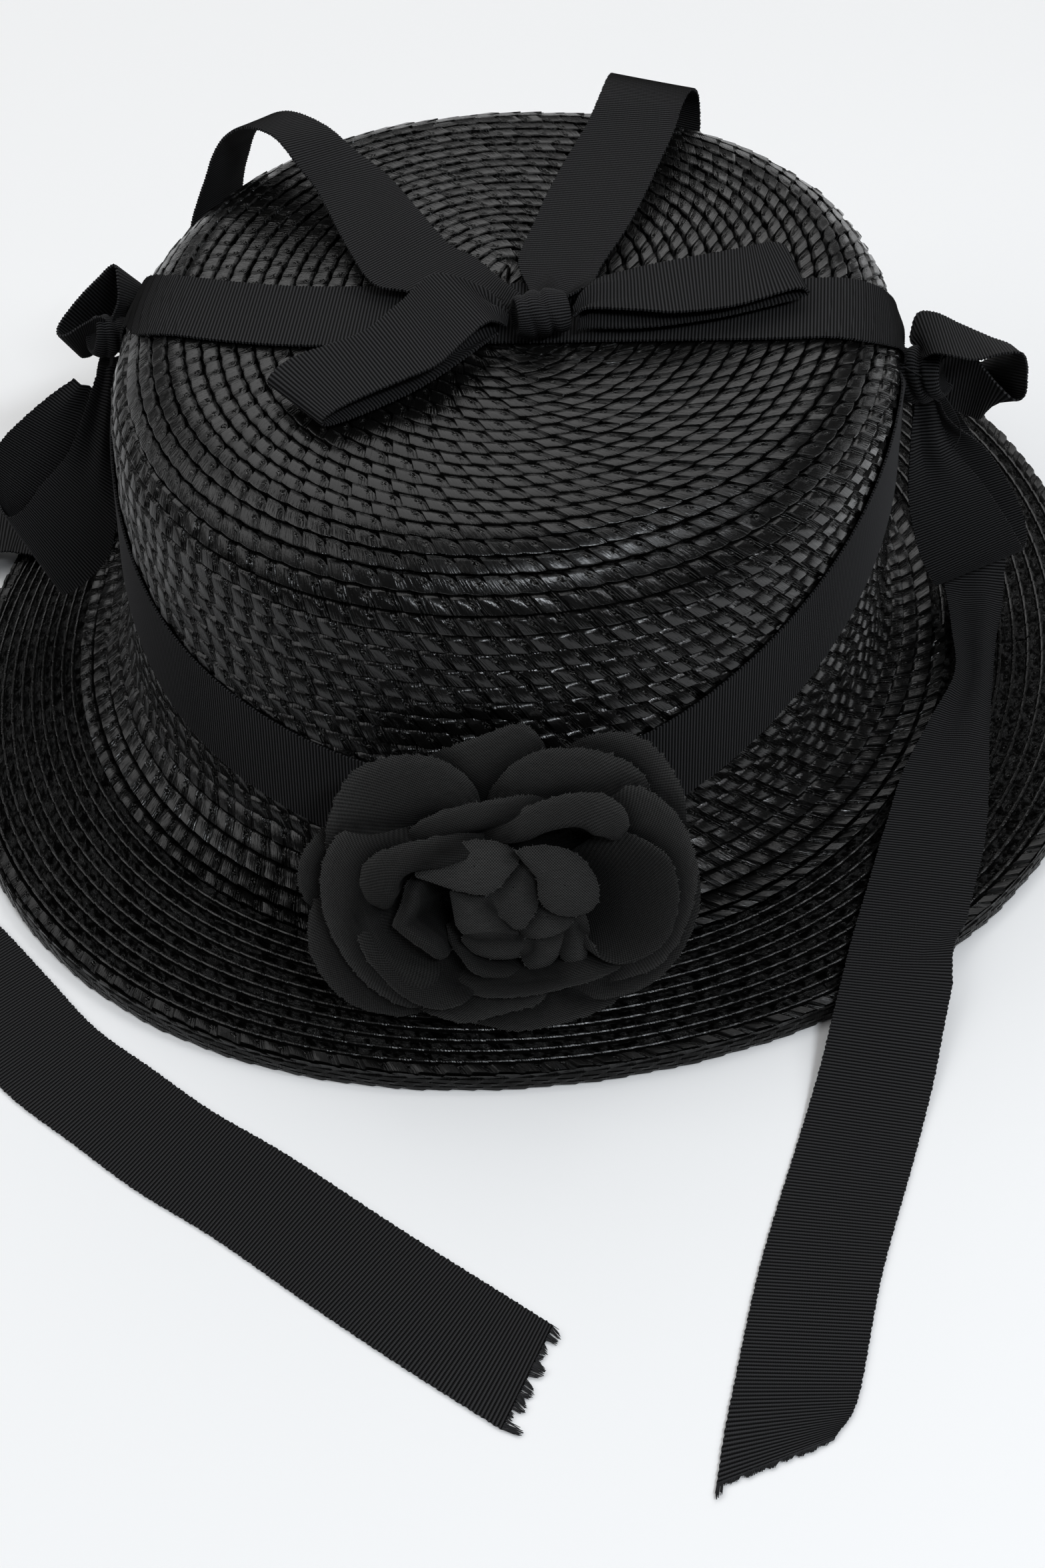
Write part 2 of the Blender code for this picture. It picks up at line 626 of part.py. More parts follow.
def cup(radius):
    """The rose is a shallow bowl: how far its face stands forward at this radius."""
    return ROSE_CUP * (radius / ROSE_REACH) ** 1.5 - ROSE_DEPTH


def petal(name, degrees, reach, half_width, layer, collection, material):
    """A petal that fans out of its root. Every line of its grid ends on the round rim."""
    frame = rose_frame()
    direction = math.radians(degrees)
    ahead = Vector((math.cos(direction), math.sin(direction)))
    beside = Vector((-ahead.y, ahead.x))
    points = []
    for row in range(PETAL_ROWS):
        rise = row / (PETAL_ROWS - 1)
        fullness = PETAL_ROOT_WIDTH + (1 - PETAL_ROOT_WIDTH) * math.sin(rise * math.pi / 2)
        for column in range(PETAL_COLUMNS):
            turn = (column / (PETAL_COLUMNS - 1) - 0.5) * math.pi
            along = rise * (PETAL_SHOULDER + (1 - PETAL_SHOULDER) * math.cos(turn))
            across = half_width * fullness * math.sin(turn)
            plan = ahead * lerp(PETAL_ROOT, reach, along) + beside * across
            points.append(rose_point(frame, plan.x, plan.y, cup(plan.length) + layer * LAYER_RISE))
    piece = new_piece(name, points, grid_faces(PETAL_ROWS, PETAL_COLUMNS), collection, material)
    thicken(piece, CLOTH, 0.0)
    return piece


def inner_petal(name, degrees, half_arc, radius, foot, rim, collection, material):
    """A petal that stands up round the bud."""
    frame = rose_frame()
    rows = 4
    columns = 7
    points = []
    for row in range(rows):
        rise = row / (rows - 1)
        for column in range(columns):
            side = 2 * column / (columns - 1) - 1
            angle = math.radians(degrees + half_arc * side * lerp(0.75, 1.0, rise))
            out = radius * (0.9 + 0.1 * math.sin(rise * math.pi))
            lift = lerp(foot, rim, rise * (1 - 0.3 * side**2))
            points.append(rose_point(frame, out * math.cos(angle), out * math.sin(angle), lift))
    piece = new_piece(name, points, grid_faces(rows, columns), collection, material)
    thicken(piece, CLOTH, 0.0)
    return piece


def rose_stem(collection, material):
    """The post that the petals are sewn to, down to the straw behind the rose."""
    shape = bmesh.new()
    bmesh.ops.create_cone(
        shape,
        cap_ends=True,
        segments=16,
        radius1=STEM_RADIUS * MM,
        radius2=STEM_RADIUS * MM,
        depth=(STEM_FRONT - STEM_BACK) * MM,
    )
    frame = rose_frame()
    middle = rose_point(frame, 0.0, 0.0, (STEM_FRONT + STEM_BACK) / 2)
    bmesh.ops.transform(shape, matrix=Matrix.Translation(middle * MM) @ frame.to_4x4(), verts=shape.verts)
    mesh = bpy.data.meshes.new("rose_stem")
    shape.to_mesh(mesh)
    shape.free()
    mesh.shade_smooth()
    mesh.set_sharp_from_angle(angle=math.radians(40))
    mesh.materials.append(material)
    collection.objects.link(bpy.data.objects.new("rose_stem", mesh))


def centre_over_floor(collection):
    """Moves the whole hat so that its box stands with the middle of its base at the origin."""
    bpy.context.view_layer.update()
    graph = bpy.context.evaluated_depsgraph_get()
    corners = [
        piece.matrix_world @ Vector(corner)
        for piece in collection.objects
        for corner in piece.evaluated_get(graph).bound_box
    ]
    low = Vector(min(corner[axis] for corner in corners) for axis in range(3))
    high = Vector(max(corner[axis] for corner in corners) for axis in range(3))
    root = bpy.data.objects.new("boater_hat_place", None)
    root.location = Vector((-(low.x + high.x) / 2, -(low.y + high.y) / 2, -low.z))
    collection.objects.link(root)
    return root


def build():
    clear_scene()
    hat = new_collection("boater_hat")
    guides = new_collection("guides")
    straw = new_material("black_straw", (0.012, 0.012, 0.012), 0.25)
    grosgrain = new_material("black_ribbon", (0.011, 0.011, 0.012), 0.75)
    rose_cloth = new_material("charcoal_cloth", (0.028, 0.028, 0.027), 0.85)

    form = straw_sheet("hat_form", (0, 0.5, 1, 1.33, 1.67, 2, 2.5, 3, 3.34, 3.67, 4, 4.5, 5), guides, None)
    form.hide_render = True
    form.display_type = "WIRE"

    crown = straw_sheet("straw_crown", (0, 0.5, 1, 1.33, 1.67, 2, 2.5, 2.99), hat, straw)
    thicken(crown, STRAW, -1.0)
    brim = straw_sheet("straw_brim", (3, 3.34, 3.67, 4, 4.5, 5), hat, straw)
    thicken(brim, STRAW, -1.0)
    brim_edge(hat, straw)

    band("hatband_front", BAND_FRONT, hat, grosgrain)
    band("hatband_back", BAND_BACK, hat, grosgrain)
    ribbon("cross_ribbon", CROSS_RIBBON, hat, grosgrain, form)
    ribbon("top_loop_left", TOP_LOOP_LEFT, hat, grosgrain)
    ribbon("top_loop_right", TOP_LOOP_RIGHT, hat, grosgrain)
    ribbon("top_tail_left", TOP_TAIL_LEFT, hat, grosgrain)
    ribbon("top_tail_right", TOP_TAIL_RIGHT, hat, grosgrain)
    ribbon("right_up_loop", RIGHT_UP_LOOP, hat, grosgrain)
    ribbon("right_down_loop", RIGHT_DOWN_LOOP, hat, grosgrain)
    ribbon("right_tail", RIGHT_TAIL, hat, grosgrain, form)
    ribbon("left_up_loop", LEFT_UP_LOOP, hat, grosgrain)
    ribbon("left_down_loop", LEFT_DOWN_LOOP, hat, grosgrain)
    ribbon("left_tail", LEFT_TAIL, hat, grosgrain, form)
    for name, middle, half_size in KNOTS:
        ball(name, middle, half_size, Matrix.Identity(3), hat, grosgrain)

    for name, degrees, reach, half_width, layer in PETALS:
        petal(name, degrees, reach, half_width, layer, hat, rose_cloth)
    for name, degrees, half_arc, radius, foot, rim in INNER_PETALS:
        inner_petal(name, degrees, half_arc, radius, foot, rim, hat, rose_cloth)
    frame = rose_frame()
    ball("rose_bud", rose_point(frame, 0.0, 0.0, BUD_MIDDLE), BUD_HALF, frame, hat, rose_cloth)
    rose_stem(hat, rose_cloth)

    root = centre_over_floor(hat)
    for piece in hat.objects:
        if piece != root:
            piece.parent = root
    form.parent = root


build()
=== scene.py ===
# %% [markdown]
# # A black straw boater with grosgrain bows and a cloth rose
#
# A boater is sewn from one long straw braid. The braid starts as a short line on top of the crown
# and is stitched round and round, every turn lapping over the next, down the wall and out to the
# brim's edge. A grosgrain ribbon goes round the crown, is tied in a bow on each side and on top, and
# its long tails lie on the table. A rose of cut cloth petals hides the join at the front.
#
# The lesson builds the straw as real turns of braid, the ribbon as ribbed strips that bend as
# ribbon does, and every petal as its own sheet. All of it stands in the frame of the plain CAD model
# of the same hat, so each piece here takes the place of one or more of its solids.

# %% The tools, the frame and the units
import math

import bpy
import numpy as np
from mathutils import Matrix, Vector
from mathutils.bvhtree import BVHTree


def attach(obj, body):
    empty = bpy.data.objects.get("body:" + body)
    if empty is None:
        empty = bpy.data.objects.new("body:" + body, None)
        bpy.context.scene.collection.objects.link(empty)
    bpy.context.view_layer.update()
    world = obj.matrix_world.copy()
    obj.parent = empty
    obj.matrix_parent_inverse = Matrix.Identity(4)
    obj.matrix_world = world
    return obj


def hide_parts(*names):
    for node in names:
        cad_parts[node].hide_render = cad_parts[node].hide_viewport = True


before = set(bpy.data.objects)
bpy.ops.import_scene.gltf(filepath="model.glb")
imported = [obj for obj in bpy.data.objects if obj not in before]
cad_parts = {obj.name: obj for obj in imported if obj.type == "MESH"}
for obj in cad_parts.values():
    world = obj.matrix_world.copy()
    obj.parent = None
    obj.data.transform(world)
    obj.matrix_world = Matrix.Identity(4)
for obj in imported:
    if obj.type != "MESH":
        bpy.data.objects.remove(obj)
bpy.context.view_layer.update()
MM = 0.001
AXIS = np.array([12.452, 42.085, 0.0])  # where the crown's axis stands in the frame, in millimetres
chance = np.random.default_rng(7)

# %% [markdown]
# ## Shader sums that read like sums
#
# A material is a net of nodes, and a net of Math nodes is hard to read. This small class holds one
# socket and lets Python's own signs add the nodes, so a line such as `1 - mask * 0.5` builds two
# Math nodes. Every other node comes from `node`, which takes its settings first and its sockets
# after them.


# %% A value in a shader
class Value:
    def __init__(self, tree, socket=None):
        self.tree, self.socket = tree, socket

    def node(self, kind, settings=None, output=0, **sockets):
        made = self.tree.nodes.new("ShaderNode" + kind)
        for name, setting in (settings or {}).items():
            setattr(made, name, setting)
        for name, value in sockets.items():
            socket = made.inputs[int(name[1:]) if name[1:].isdigit() else name.replace("_", " ")]
            if isinstance(value, Value):
                self.tree.links.new(value.socket, socket)
            else:
                socket.default_value = value
        return Value(self.tree, made.outputs[output])

    def math(self, operation, *others):
        inputs = {f"i{place}": value for place, value in enumerate((self, *others))}
        return self.node("Math", {"operation": operation}, **inputs)

    def __add__(self, other):
        return self.math("ADD", other)

    def __mul__(self, other):
        return self.math("MULTIPLY", other)

    def __sub__(self, other):
        return self.math("SUBTRACT", other)

    def __rsub__(self, other):
        return self.node("Math", {"operation": "SUBTRACT"}, i0=other, i1=self)

    def __pow__(self, other):
        return self.math("POWER", other)

    __radd__ = __add__

    def wave(self):
        """From 0 to 1 and back once in every whole number."""
        return (self * (2 * math.pi)).math("COSINE") * -0.5 + 0.5

    def between(self, low, high):
        return self.node(
            "MapRange", {"interpolation_type": "SMOOTHSTEP"}, Value=self, From_Min=low, From_Max=high
        )

    def grey(self, green, blue):
        """This shade as a colour, with a little less or more of two of its parts."""
        return self.node("CombineColor", Red=self, Green=self * green, Blue=self * blue)


def new_material(name, colour, roughness, **fixed):
    """A Principled material with its even settings put straight on its sockets."""
    material = bpy.data.materials.new(name)
    material.use_nodes = True
    shader = material.node_tree.nodes["Principled BSDF"]
    shader.inputs["Base Color"].default_value = (*colour, 1.0)
    shader.inputs["Roughness"].default_value = roughness
    for socket, value in fixed.items():
        shader.inputs[socket.replace("_", " ")].default_value = value
    return material, Value(material.node_tree), shader


def place_of(value):
    """The two parts of a point's place on the braid or the cloth."""
    first = value.node("SeparateXYZ", Vector=value.node("UVMap", {"uv_map": "place"}))
    return first, Value(value.tree, first.socket.node.outputs[1])


def tone_of(value):
    return value.node("Attribute", {"attribute_name": "tone"}, output=2)


def feed(shader, **results):
    """Links each result to the shader's socket of that name."""
    for name, result in results.items():
        result.tree.links.new(result.socket, shader.inputs[name.replace("_", " ")])


# %% [markdown]
# ## One way to make a mesh
#
# All pieces are grids of points worked out with numpy. A strip's grid may close on itself across, as
# a braid's does, or stay open, as a ribbon's does. Each point also carries a place on the cloth or
# braid for the material, and a tone, which is a number of its own that makes neighbours differ; on
# the rose's cloth the tone also carries painted light and shade.


# %% Grids and meshes
def together(*parts):
    """One array whose last axis holds the parts, which may have fewer rows or columns."""
    return np.stack(np.broadcast_arrays(*parts), -1)


def unit(vectors):
    return vectors / np.maximum(np.linalg.norm(vectors, axis=-1, keepdims=True), 1e-9)


def way_along(points):
    """How far each point lies along the line that they make."""
    return np.concatenate([[0], np.cumsum(np.linalg.norm(np.diff(points, axis=0), axis=1))])


def sampled(rows, way, places):
    """The rows at new places along their way."""
    return np.stack([np.interp(places, way, column) for column in np.transpose(rows)], -1)


def grid_faces(rows, columns, closed=False):
    row = np.arange(rows - 1)[:, None] * columns
    column = np.arange(columns if closed else columns - 1)[None, :]
    beside = (column + 1) % columns
    corners = [row + column, row + column + columns, row + beside + columns, row + beside]
    return np.stack(corners, -1).reshape(-1, 4)


def thick_sheet(grid, thickness, closed=False):
    """A sheet's front, back and cut edges: (points, faces, which points are on the cut)."""
    rows, columns = grid.shape[:2]
    count = rows * columns
    across = (np.roll(grid, -1, 1) - np.roll(grid, 1, 1)) if closed else np.gradient(grid, axis=1)
    normal = unit(np.cross(np.gradient(grid, axis=0), across))
    points = np.stack([grid + normal * thickness / 2, grid - normal * thickness / 2])
    number = np.arange(count).reshape(rows, columns)
    if closed:
        loops = [np.append(number[-1], number[-1, 0]), np.append(number[0], number[0, 0])[::-1]]
    else:
        loops = [np.concatenate([number[:-1, 0], number[-1, :-1], number[:0:-1, -1], number[0, ::-1]])]
    front = grid_faces(rows, columns, closed)
    sides = [np.stack([k[1:], k[:-1], k[:-1] + count, k[1:] + count], -1) for k in loops]
    cut = np.zeros(count, bool)
    cut[np.concatenate(loops)] = True
    return points, np.concatenate([front, front[:, ::-1] + count, *sides]), np.tile(cut, 2)


def new_piece(name, points, faces, material, places=None, tones=None, caps=(), sharp=None, cut=None):
    """A mesh object from points in millimetres about the crown's axis, and faces of four points.

    Caps are end faces of many points, edges that fold by more than sharp degrees are sharp, and so
    are the edges between points of the cut on one side of a sheet.
    """
    points = (np.asarray(points, float).reshape(-1, 3) + AXIS) * MM
    mesh = bpy.data.meshes.new(name)
    corners = np.concatenate([faces.reshape(-1), *[np.asarray(cap) for cap in caps]])
    sizes = np.concatenate([np.full(len(faces), 4), [len(cap) for cap in caps]]).astype(int)
    starts = np.cumsum(sizes) - sizes
    mesh.vertices.add(len(points))
    mesh.vertices.foreach_set("co", points.reshape(-1))
    mesh.loops.add(len(corners))
    mesh.loops.foreach_set("vertex_index", corners)
    mesh.polygons.add(len(starts))
    mesh.polygons.foreach_set("loop_start", starts)
    mesh.update(calc_edges=True)
    if places is not None:
        layer = mesh.uv_layers.new(name="place")
        layer.data.foreach_set("uv", np.asarray(places, float).reshape(-1, 2)[corners].reshape(-1))
    if tones is not None:
        layer = mesh.attributes.new("tone", "FLOAT", "POINT")
        layer.data.foreach_set("value", np.asarray(tones, float).reshape(-1))
    mesh.shade_smooth()
    if sharp:
        mesh.set_sharp_from_angle(angle=math.radians(sharp))
    if cut is not None:
        ends = np.zeros(len(mesh.edges) * 2, int)
        mesh.edges.foreach_get("vertices", ends)
        one, other = ends[::2], ends[1::2]
        same_side = (one < len(cut) // 2) == (other < len(cut) // 2)
        layer = mesh.attributes.new("sharp_edge", "BOOLEAN", "EDGE")
        layer.data.foreach_set("value", cut[one] & cut[other] & same_side)
    mesh.materials.append(material)
    piece = bpy.data.objects.new(name, mesh)
    bpy.context.scene.collection.objects.link(piece)
    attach(piece, "root")
    print(f"{name}: {len(points)} points, {len(starts)} faces")
    return piece


# %% [markdown]
# ## The hat's form
#
# Seen from above, the crown is an oval that is a little wider at the back, and the brim is another,
# set a little to one side. From the middle of the top outwards the straw runs flat, turns down the
# rounded shoulder, falls along the wall, sweeps out through a hollow curve and then lies nearly
# flat. One number, the way run along this line in millimetres from where the shoulder starts, and
# one angle round the oval, together name any point of the straw.

# %% The ovals and the line from the middle to the edge
CROWN = dict(half_x=84.0, half_y=93.8, egg=0.037, corners=0.024, turn=-5.5)
BRIM = dict(half_x=130.6, half_y=145.3, egg=-0.033, corners=-0.027, turn=-38.8)
BRIM_MIDDLE = (8.9, 1.0)
TIP_HEIGHT, TIP_DOME, SHOULDER = 92.7, 0.8, 17.7
WALL_FOOT, WALL_DRAFT, FILLET, FILLET_TURN = 24.2, 0.051, 15.0, math.radians(81)
BRIM_EDGE_HEIGHT, TIP_LEAN = 4.2, 0.035
SHOULDER_END = SHOULDER * math.pi / 2
WALL_END = SHOULDER_END + TIP_HEIGHT - SHOULDER - WALL_FOOT
FILLET_END = WALL_END + FILLET * FILLET_TURN
BRIM_RUN = 36.0
START = -66.3


def oval(angle, grow, half_x, half_y, egg, corners, turn):
    """Points of an oval that is grown by some millimetres, in its own angle."""
    full = 1 + corners * (1 - np.cos(4 * angle)) / 2
    x = (half_x + grow) * np.cos(angle) * full * (1 + egg * np.sin(angle))
    y = (half_y + grow) * np.sin(angle) * full
    cos, sin = math.cos(math.radians(turn)), math.sin(math.radians(turn))
    return np.stack([x * cos - y * sin, x * sin + y * cos], -1)


def direction_of(plan):
    return np.arctan2(plan[..., 1], plan[..., 0])


def in_direction(direction, plan):
    """A table's point of a closed plan in each direction from the axis."""
    found = np.unwrap(direction_of(plan))
    turns = (direction - found[0]) % (2 * math.pi) + found[0]
    return sampled(plan, found, turns)


ROUND = np.linspace(0, 2 * math.pi, 2881)
BRIM_LINE = oval(ROUND, 0.0, **BRIM) + BRIM_MIDDLE
CROWN_DIRECTIONS = np.unwrap(direction_of(oval(ROUND, 0.0, **CROWN)))


def crown_angle(direction):
    """The oval's own angle for a direction from the crown's axis."""
    turns = (direction - CROWN_DIRECTIONS[0]) % (2 * math.pi) + CROWN_DIRECTIONS[0]
    return np.interp(turns, CROWN_DIRECTIONS, ROUND)


def straw_point(angle, run, height=0.0):
    """Points of the straw at an angle and a run, standing off its face by the height."""
    angle, run = np.broadcast_arrays(np.asarray(angle, float), np.asarray(run, float))
    shoulder = np.clip(run / SHOULDER, 0, math.pi / 2)
    fillet = np.clip((run - WALL_END) / FILLET, 0, FILLET_TURN)
    wall = np.clip(run, SHOULDER_END, WALL_END) - SHOULDER_END
    tip = np.clip(run, START, 0)
    grow = tip - SHOULDER * (1 - np.sin(shoulder)) + WALL_DRAFT * wall + FILLET * (1 - np.cos(fillet))
    z = TIP_HEIGHT + TIP_DOME * (1 - (1 - tip / START) ** 2)
    z = z - SHOULDER * (1 - np.cos(shoulder)) - wall - FILLET * np.sin(fillet)
    plan = oval(angle, grow, **CROWN)
    round_it = oval(angle + 0.01, grow, **CROWN) - oval(angle - 0.01, grow, **CROWN)
    out = unit(np.stack([round_it[..., 1], -round_it[..., 0]], -1))
    share = np.clip((run - FILLET_END) / BRIM_RUN, 0, 1)
    plan = plan + (in_direction(direction_of(plan), BRIM_LINE) - plan) * share[..., None]
    z = z + (BRIM_EDGE_HEIGHT - z) * share
    slope = np.where(run > WALL_END, math.pi / 2 - fillet, shoulder) * (1 - 0.6 * share)
    z = z + TIP_LEAN * plan[..., 0] * np.clip((z - WALL_FOOT) / (TIP_HEIGHT - WALL_FOOT), 0, 2)
    normal = np.concatenate([out * np.sin(slope)[..., None], np.cos(slope)[..., None]], -1)
    return np.concatenate([plan, z[..., None]], -1) + normal * np.asarray(height)[..., None]


form_grid = straw_point(ROUND[None, :-1:12], np.linspace(START, FILLET_END + BRIM_RUN, 90)[:, None])
form = BVHTree.FromPolygons(
    [Vector(point) for point in form_grid.reshape(-1, 3)],
    grid_faces(*form_grid.shape[:2], closed=True).tolist(),
)
print("the line from the middle to the brim's edge is", round(BRIM_RUN + FILLET_END - START), "mm long")

# %% [markdown]
# ## The braid
#
# The braid is flat-plaited straw 3 to 4 mm wide, lacquered black. Every 5 mm one straw passes over
# the others and shows a smooth facet, with a little stitch and a dark line beside it. A picture of
# braid laid on a smooth hat would look painted, because each facet leans its own way and catches
# its own light, so here the braid is real geometry: one closed strip that winds from the middle to
# the edge, with a cross-section that is given again at a few places in every facet. The turns get
# a number, and the run of each edge of a turn follows from it.

# %% Where each turn of the braid lies
TURNS = [-1.0, 0.0, 22.0, 44.0, 56.0]
RUNS = [START, START, 13.0, FILLET_END, FILLET_END + BRIM_RUN]
FACET = 5.1
turns = np.linspace(TURNS[0], TURNS[-1], int(TURNS[-1] - TURNS[0]) * 360 + 1)
line = straw_point(turns * 2 * math.pi, np.interp(turns + 0.5, TURNS, RUNS))
cells = way_along(line) / FACET
print("the braid is", round(cells[-1] * FACET / 1000, 1), "m long and has", int(cells[-1]), "facets")


# the braid's underside, as places across the turn and their heights
UNDER = ((1.0, -1.6), (0.0, -1.9))
BRIM_UNDER = ((1.0, -2.2), (0.0, -2.4))
SWAY = 0.36
FOLD_ANGLE = 38


def stacked(values, every):
    """One array from values that may vary along the facet, from facet to facet, or not at all."""
    return together(every, *values)[..., 1:]


def braid(name, first_turn, last_turn, columns, section, lean, material, under=UNDER, sway=SWAY):
    """A stretch of the braid. Its section gives each facet's places across the turn, and heights.

    The lean is how far a facet's sides slant along the braid, and the sway is how much more they
    slant on the right of the hat, and less on the left.
    """
    first, last = np.interp([first_turn, last_turn], turns, cells)
    count = int(last - first)
    cell = first + np.arange(count)[:, None] * (last - first) / count
    tone = chance.random((count, 8))
    columns = np.array(columns)[None, :]
    across, height = (
        np.concatenate([upper, np.broadcast_to(lower, (*upper.shape[:2], len(lower)))], -1)
        for upper, lower in zip(section(columns, tone), np.transpose(under))
    )
    leaning = lean + sway * np.cos(np.interp(cell + columns, cells, turns) * 2 * math.pi)
    place = (cell + columns)[..., None] + leaning[..., None] * (across - 0.5)
    turn = np.interp(place, cells, turns)
    run = np.interp(turn + across, TURNS, RUNS)
    points = straw_point(turn * 2 * math.pi, run, height)
    rows, wide = count * columns.shape[1], across.shape[2]
    ring = np.arange(wide)
    return new_piece(
        name,
        points,
        grid_faces(rows, wide, closed=True),
        material,
        together((np.arange(count)[:, None] + columns)[..., None], across),
        np.broadcast_to(tone[:, :1, None], across.shape),
        caps=(ring, ring[::-1] + (rows - 1) * wide),
        sharp=FOLD_ANGLE,
    )


# %% [markdown]
# ## Lacquered straw
#
# The straw is dyed black and lacquered, so nearly all that is seen is shine: a deep black with a
# fairly smooth surface that mirrors the pale room. Along each facet run fine fibres, and
# where the stitch holds the plait the lacquer is crumpled and sparkles. Both are too fine for the
# mesh, so they go into a bump, which tilts the shine and moves nothing. The shade that falls in
# the gaps between fibres, in the hollows, in the line between facets and in the line under each
# turn's edge is painted: a black metal reflects next to nothing, so the metallic value serves as a
# mask of painted shade there. Pale spots painted into the stitches and hollows are painted glints.


# %% The straw's finish
def straw_material(name, roughness, ior, crumple, hollow_edge, streaks, row_line):
    """Lacquered straw for one zone of the hat.

    The crumpled hollow reaches from a turn's inner edge to hollow_edge, streaks is how strongly the
    fibres show and how dark the painted shade between them and between facets is, and row_line is
    how dark the painted shade line along a turn's outer edge is.
    """
    material, value, shader = new_material(name, (0.003, 0.003, 0.003), roughness, IOR=ior)
    (along, across), tone = place_of(value), tone_of(value)

    def grain(along_scale, across_scale, tone_scale, detail):
        where = value.node(
            "CombineXYZ", X=along * along_scale, Y=across * across_scale, Z=tone * tone_scale
        )
        return value.node("TexNoise", Vector=where, Scale=1.0, Detail=detail)

    fibres = grain(14.0, 1.1, 9.0, 2.0)
    rough = grain(13.0, 10.0, 30.0, 3.0)
    patches = grain(2.6, 2.4, 20.0, 1.0)
    cell = along.math("FRACT")
    from_stitch = (((cell - 0.68) * 1.5) ** 2.0 + (across - 0.45) ** 2.0) ** 0.5
    stitch = 1.0 - (from_stitch + (rough - 0.5) * 0.3).between(0.1, 0.24)
    hollow = 1.0 - across.between(hollow_edge - 0.1, hollow_edge + 0.1)
    strip = cell.between(0.55, 0.64)
    ridges = (along * 8.0).wave() * strip * streaks
    pits = (rough - 0.5) * (stitch * 3.4 + hollow * crumple + 0.12)
    height = fibres * (strip * streaks * 1.2 + 0.5) + ridges + pits
    normal = value.node("Bump", Height=height, Strength=1.0, Distance=0.00024)
    gloss = roughness + (tone - 0.5) * 0.1 + fibres * 0.1 + hollow * 0.15 - stitch * 0.06

    # Painted shade: the dark mask below goes to the metallic value and blacks out the shine in the line
    # between facets, between fibres, in the hollows, under each turn's edge and in the stitch's crumples.
    seam = 1.0 - (cell - 0.6).math("ABSOLUTE").between(0.01, 0.035)
    between_fibres = strip * (1.0 - fibres.between(0.36, 0.5)) * min(streaks * 1.6, 1.0)
    gaps = hollow * (1.0 - patches.between(0.4, 0.6) * 0.9)
    dark = (seam * streaks).math("MAXIMUM", between_fibres).math("MAXIMUM", gaps)
    dark = dark.math("MAXIMUM", across.between(0.93, 0.98) * row_line) * (1.0 - stitch)
    dark = dark.math("MAXIMUM", stitch * (1.0 - rough.between(0.44, 0.5)))
    # Painted glints: pale crumpled spots in the stitches and a pale mottle in the hollows stand in for
    # glints.
    pale = (stitch + hollow * patches.between(0.45, 0.65) * 0.35) * rough.between(0.54, 0.66)
    shade = pale * 0.11 + 0.003
    feed(shader, Normal=normal, Roughness=gloss, Metallic=dark, Base_Color=shade.grey(0.98, 0.93))
    return material


# name, roughness, ior, crumple, hollow_edge, streaks, row_line
top_straw = straw_material("black straw of the top", 0.185, 1.44, 2.6, 0.24, 0.3, 0.0)
straw = straw_material("black straw of the wall", 0.14, 1.42, 0.0, -0.5, 0.8, 0.9)
brim_straw = straw_material("black straw of the brim", 0.2, 1.45, 5.0, 0.66, 0.1, 0.0)
border_straw = straw_material("black straw of the border", 0.25, 1.38, 0.8, -0.5, 0.2, 0.5)

# %% [markdown]
# ## The flat top
#
# On top every turn dips at its inner edge, where it goes under the turn before, and a narrow dark
# line is left between the two. A facet is nearly square on the left of the hat and a long slanted
# diamond on the right, which is the sway. Each one tilts a little at random, and its end dives
# under the next one, which gives the fine saw-tooth line along every turn.


# %% The turns on the top
def tip_section(f, tone):
    inner = np.interp(f, [0, 0.5, 0.78, 1], [0.1, 0.05, 0.16, 0.46]) + 0.09 * (tone[:, 2:3] - 0.5)
    tilt = 0.3 * (0.5 - f) + 0.26 * (tone[:, :1] - 0.5)
    lean = 0.24 * (tone[:, 1:2] - 0.5)
    sweep = 0.08 * np.sin(math.pi * f) - 0.04
    deep = 0.3 * (tone[:, 3:4] - 0.5)
    rim = tilt - lean
    across = [-0.06, inner * 0.5, inner - 0.05, inner + 0.04, 0.88 + sweep, 0.96 + sweep, 1 + sweep]
    start = tilt + lean * 0.5
    height = [-1.25, deep - 1.15, deep - 0.85, start - 0.06, rim - 0.02, rim - 0.17, tilt - 0.75]
    return stacked(across, tilt), stacked(height, tilt)


TIP_COLUMNS = [0, 0.05, 0.3, 0.55, 0.8, 0.96]
tip_braid = braid("tip_braid", -1, 22, TIP_COLUMNS, tip_section, 0.5, top_straw)

# %% [markdown]
# ## The shoulder and the wall
#
# From the shoulder down, the turns lie close like roof tiles and the dark hollows are gone. The
# diamonds lean to one side here, each with a small random tilt, so their shine comes and goes.


# %% The turns on the shoulder, the wall and the hollow curve
def wall_section(f, tone):
    plate = np.interp(f, [0, 0.05, 0.55, 0.66, 0.95], [0.1, 0.3, 0.2, -0.12, -0.2])
    tilt = plate + 0.4 * (tone[:, :1] - 0.5) + 0.5 * (tone[:, 1:2] - 0.5) * (f - 0.3)
    lean = 0.85 * (tone[:, 2:3] - 0.5)
    stagger = 0.08 * (f - 0.5)
    across = [-0.05, 0.09, 0.22, 0.86 + stagger, 0.97 + stagger, 1.0 + stagger]
    rim = tilt - lean * 0.4
    height = [-1.15, tilt + lean * 0.4 - 0.5, tilt + lean * 0.3 - 0.06, rim, rim - 0.08, tilt - 0.65]
    return stacked(across, tilt), stacked(height, tilt)


WALL_COLUMNS = [0, 0.05, 0.55, 0.66, 0.95]
shoulder_braid = braid("shoulder_braid", 22, 33, WALL_COLUMNS, wall_section, 0.5, straw)
wall_braid = braid("wall_braid", 33, 44, WALL_COLUMNS, wall_section, 0.5, straw)

# %% [markdown]
# ## The brim
#
# On the brim the braid was sewn with its folded edge standing up, so every turn ends in a thin
# rounded cord. The cord is a little thicker in the middle of each facet and bends slightly, and
# behind it lies a rough hollow with one dark hole to each facet.


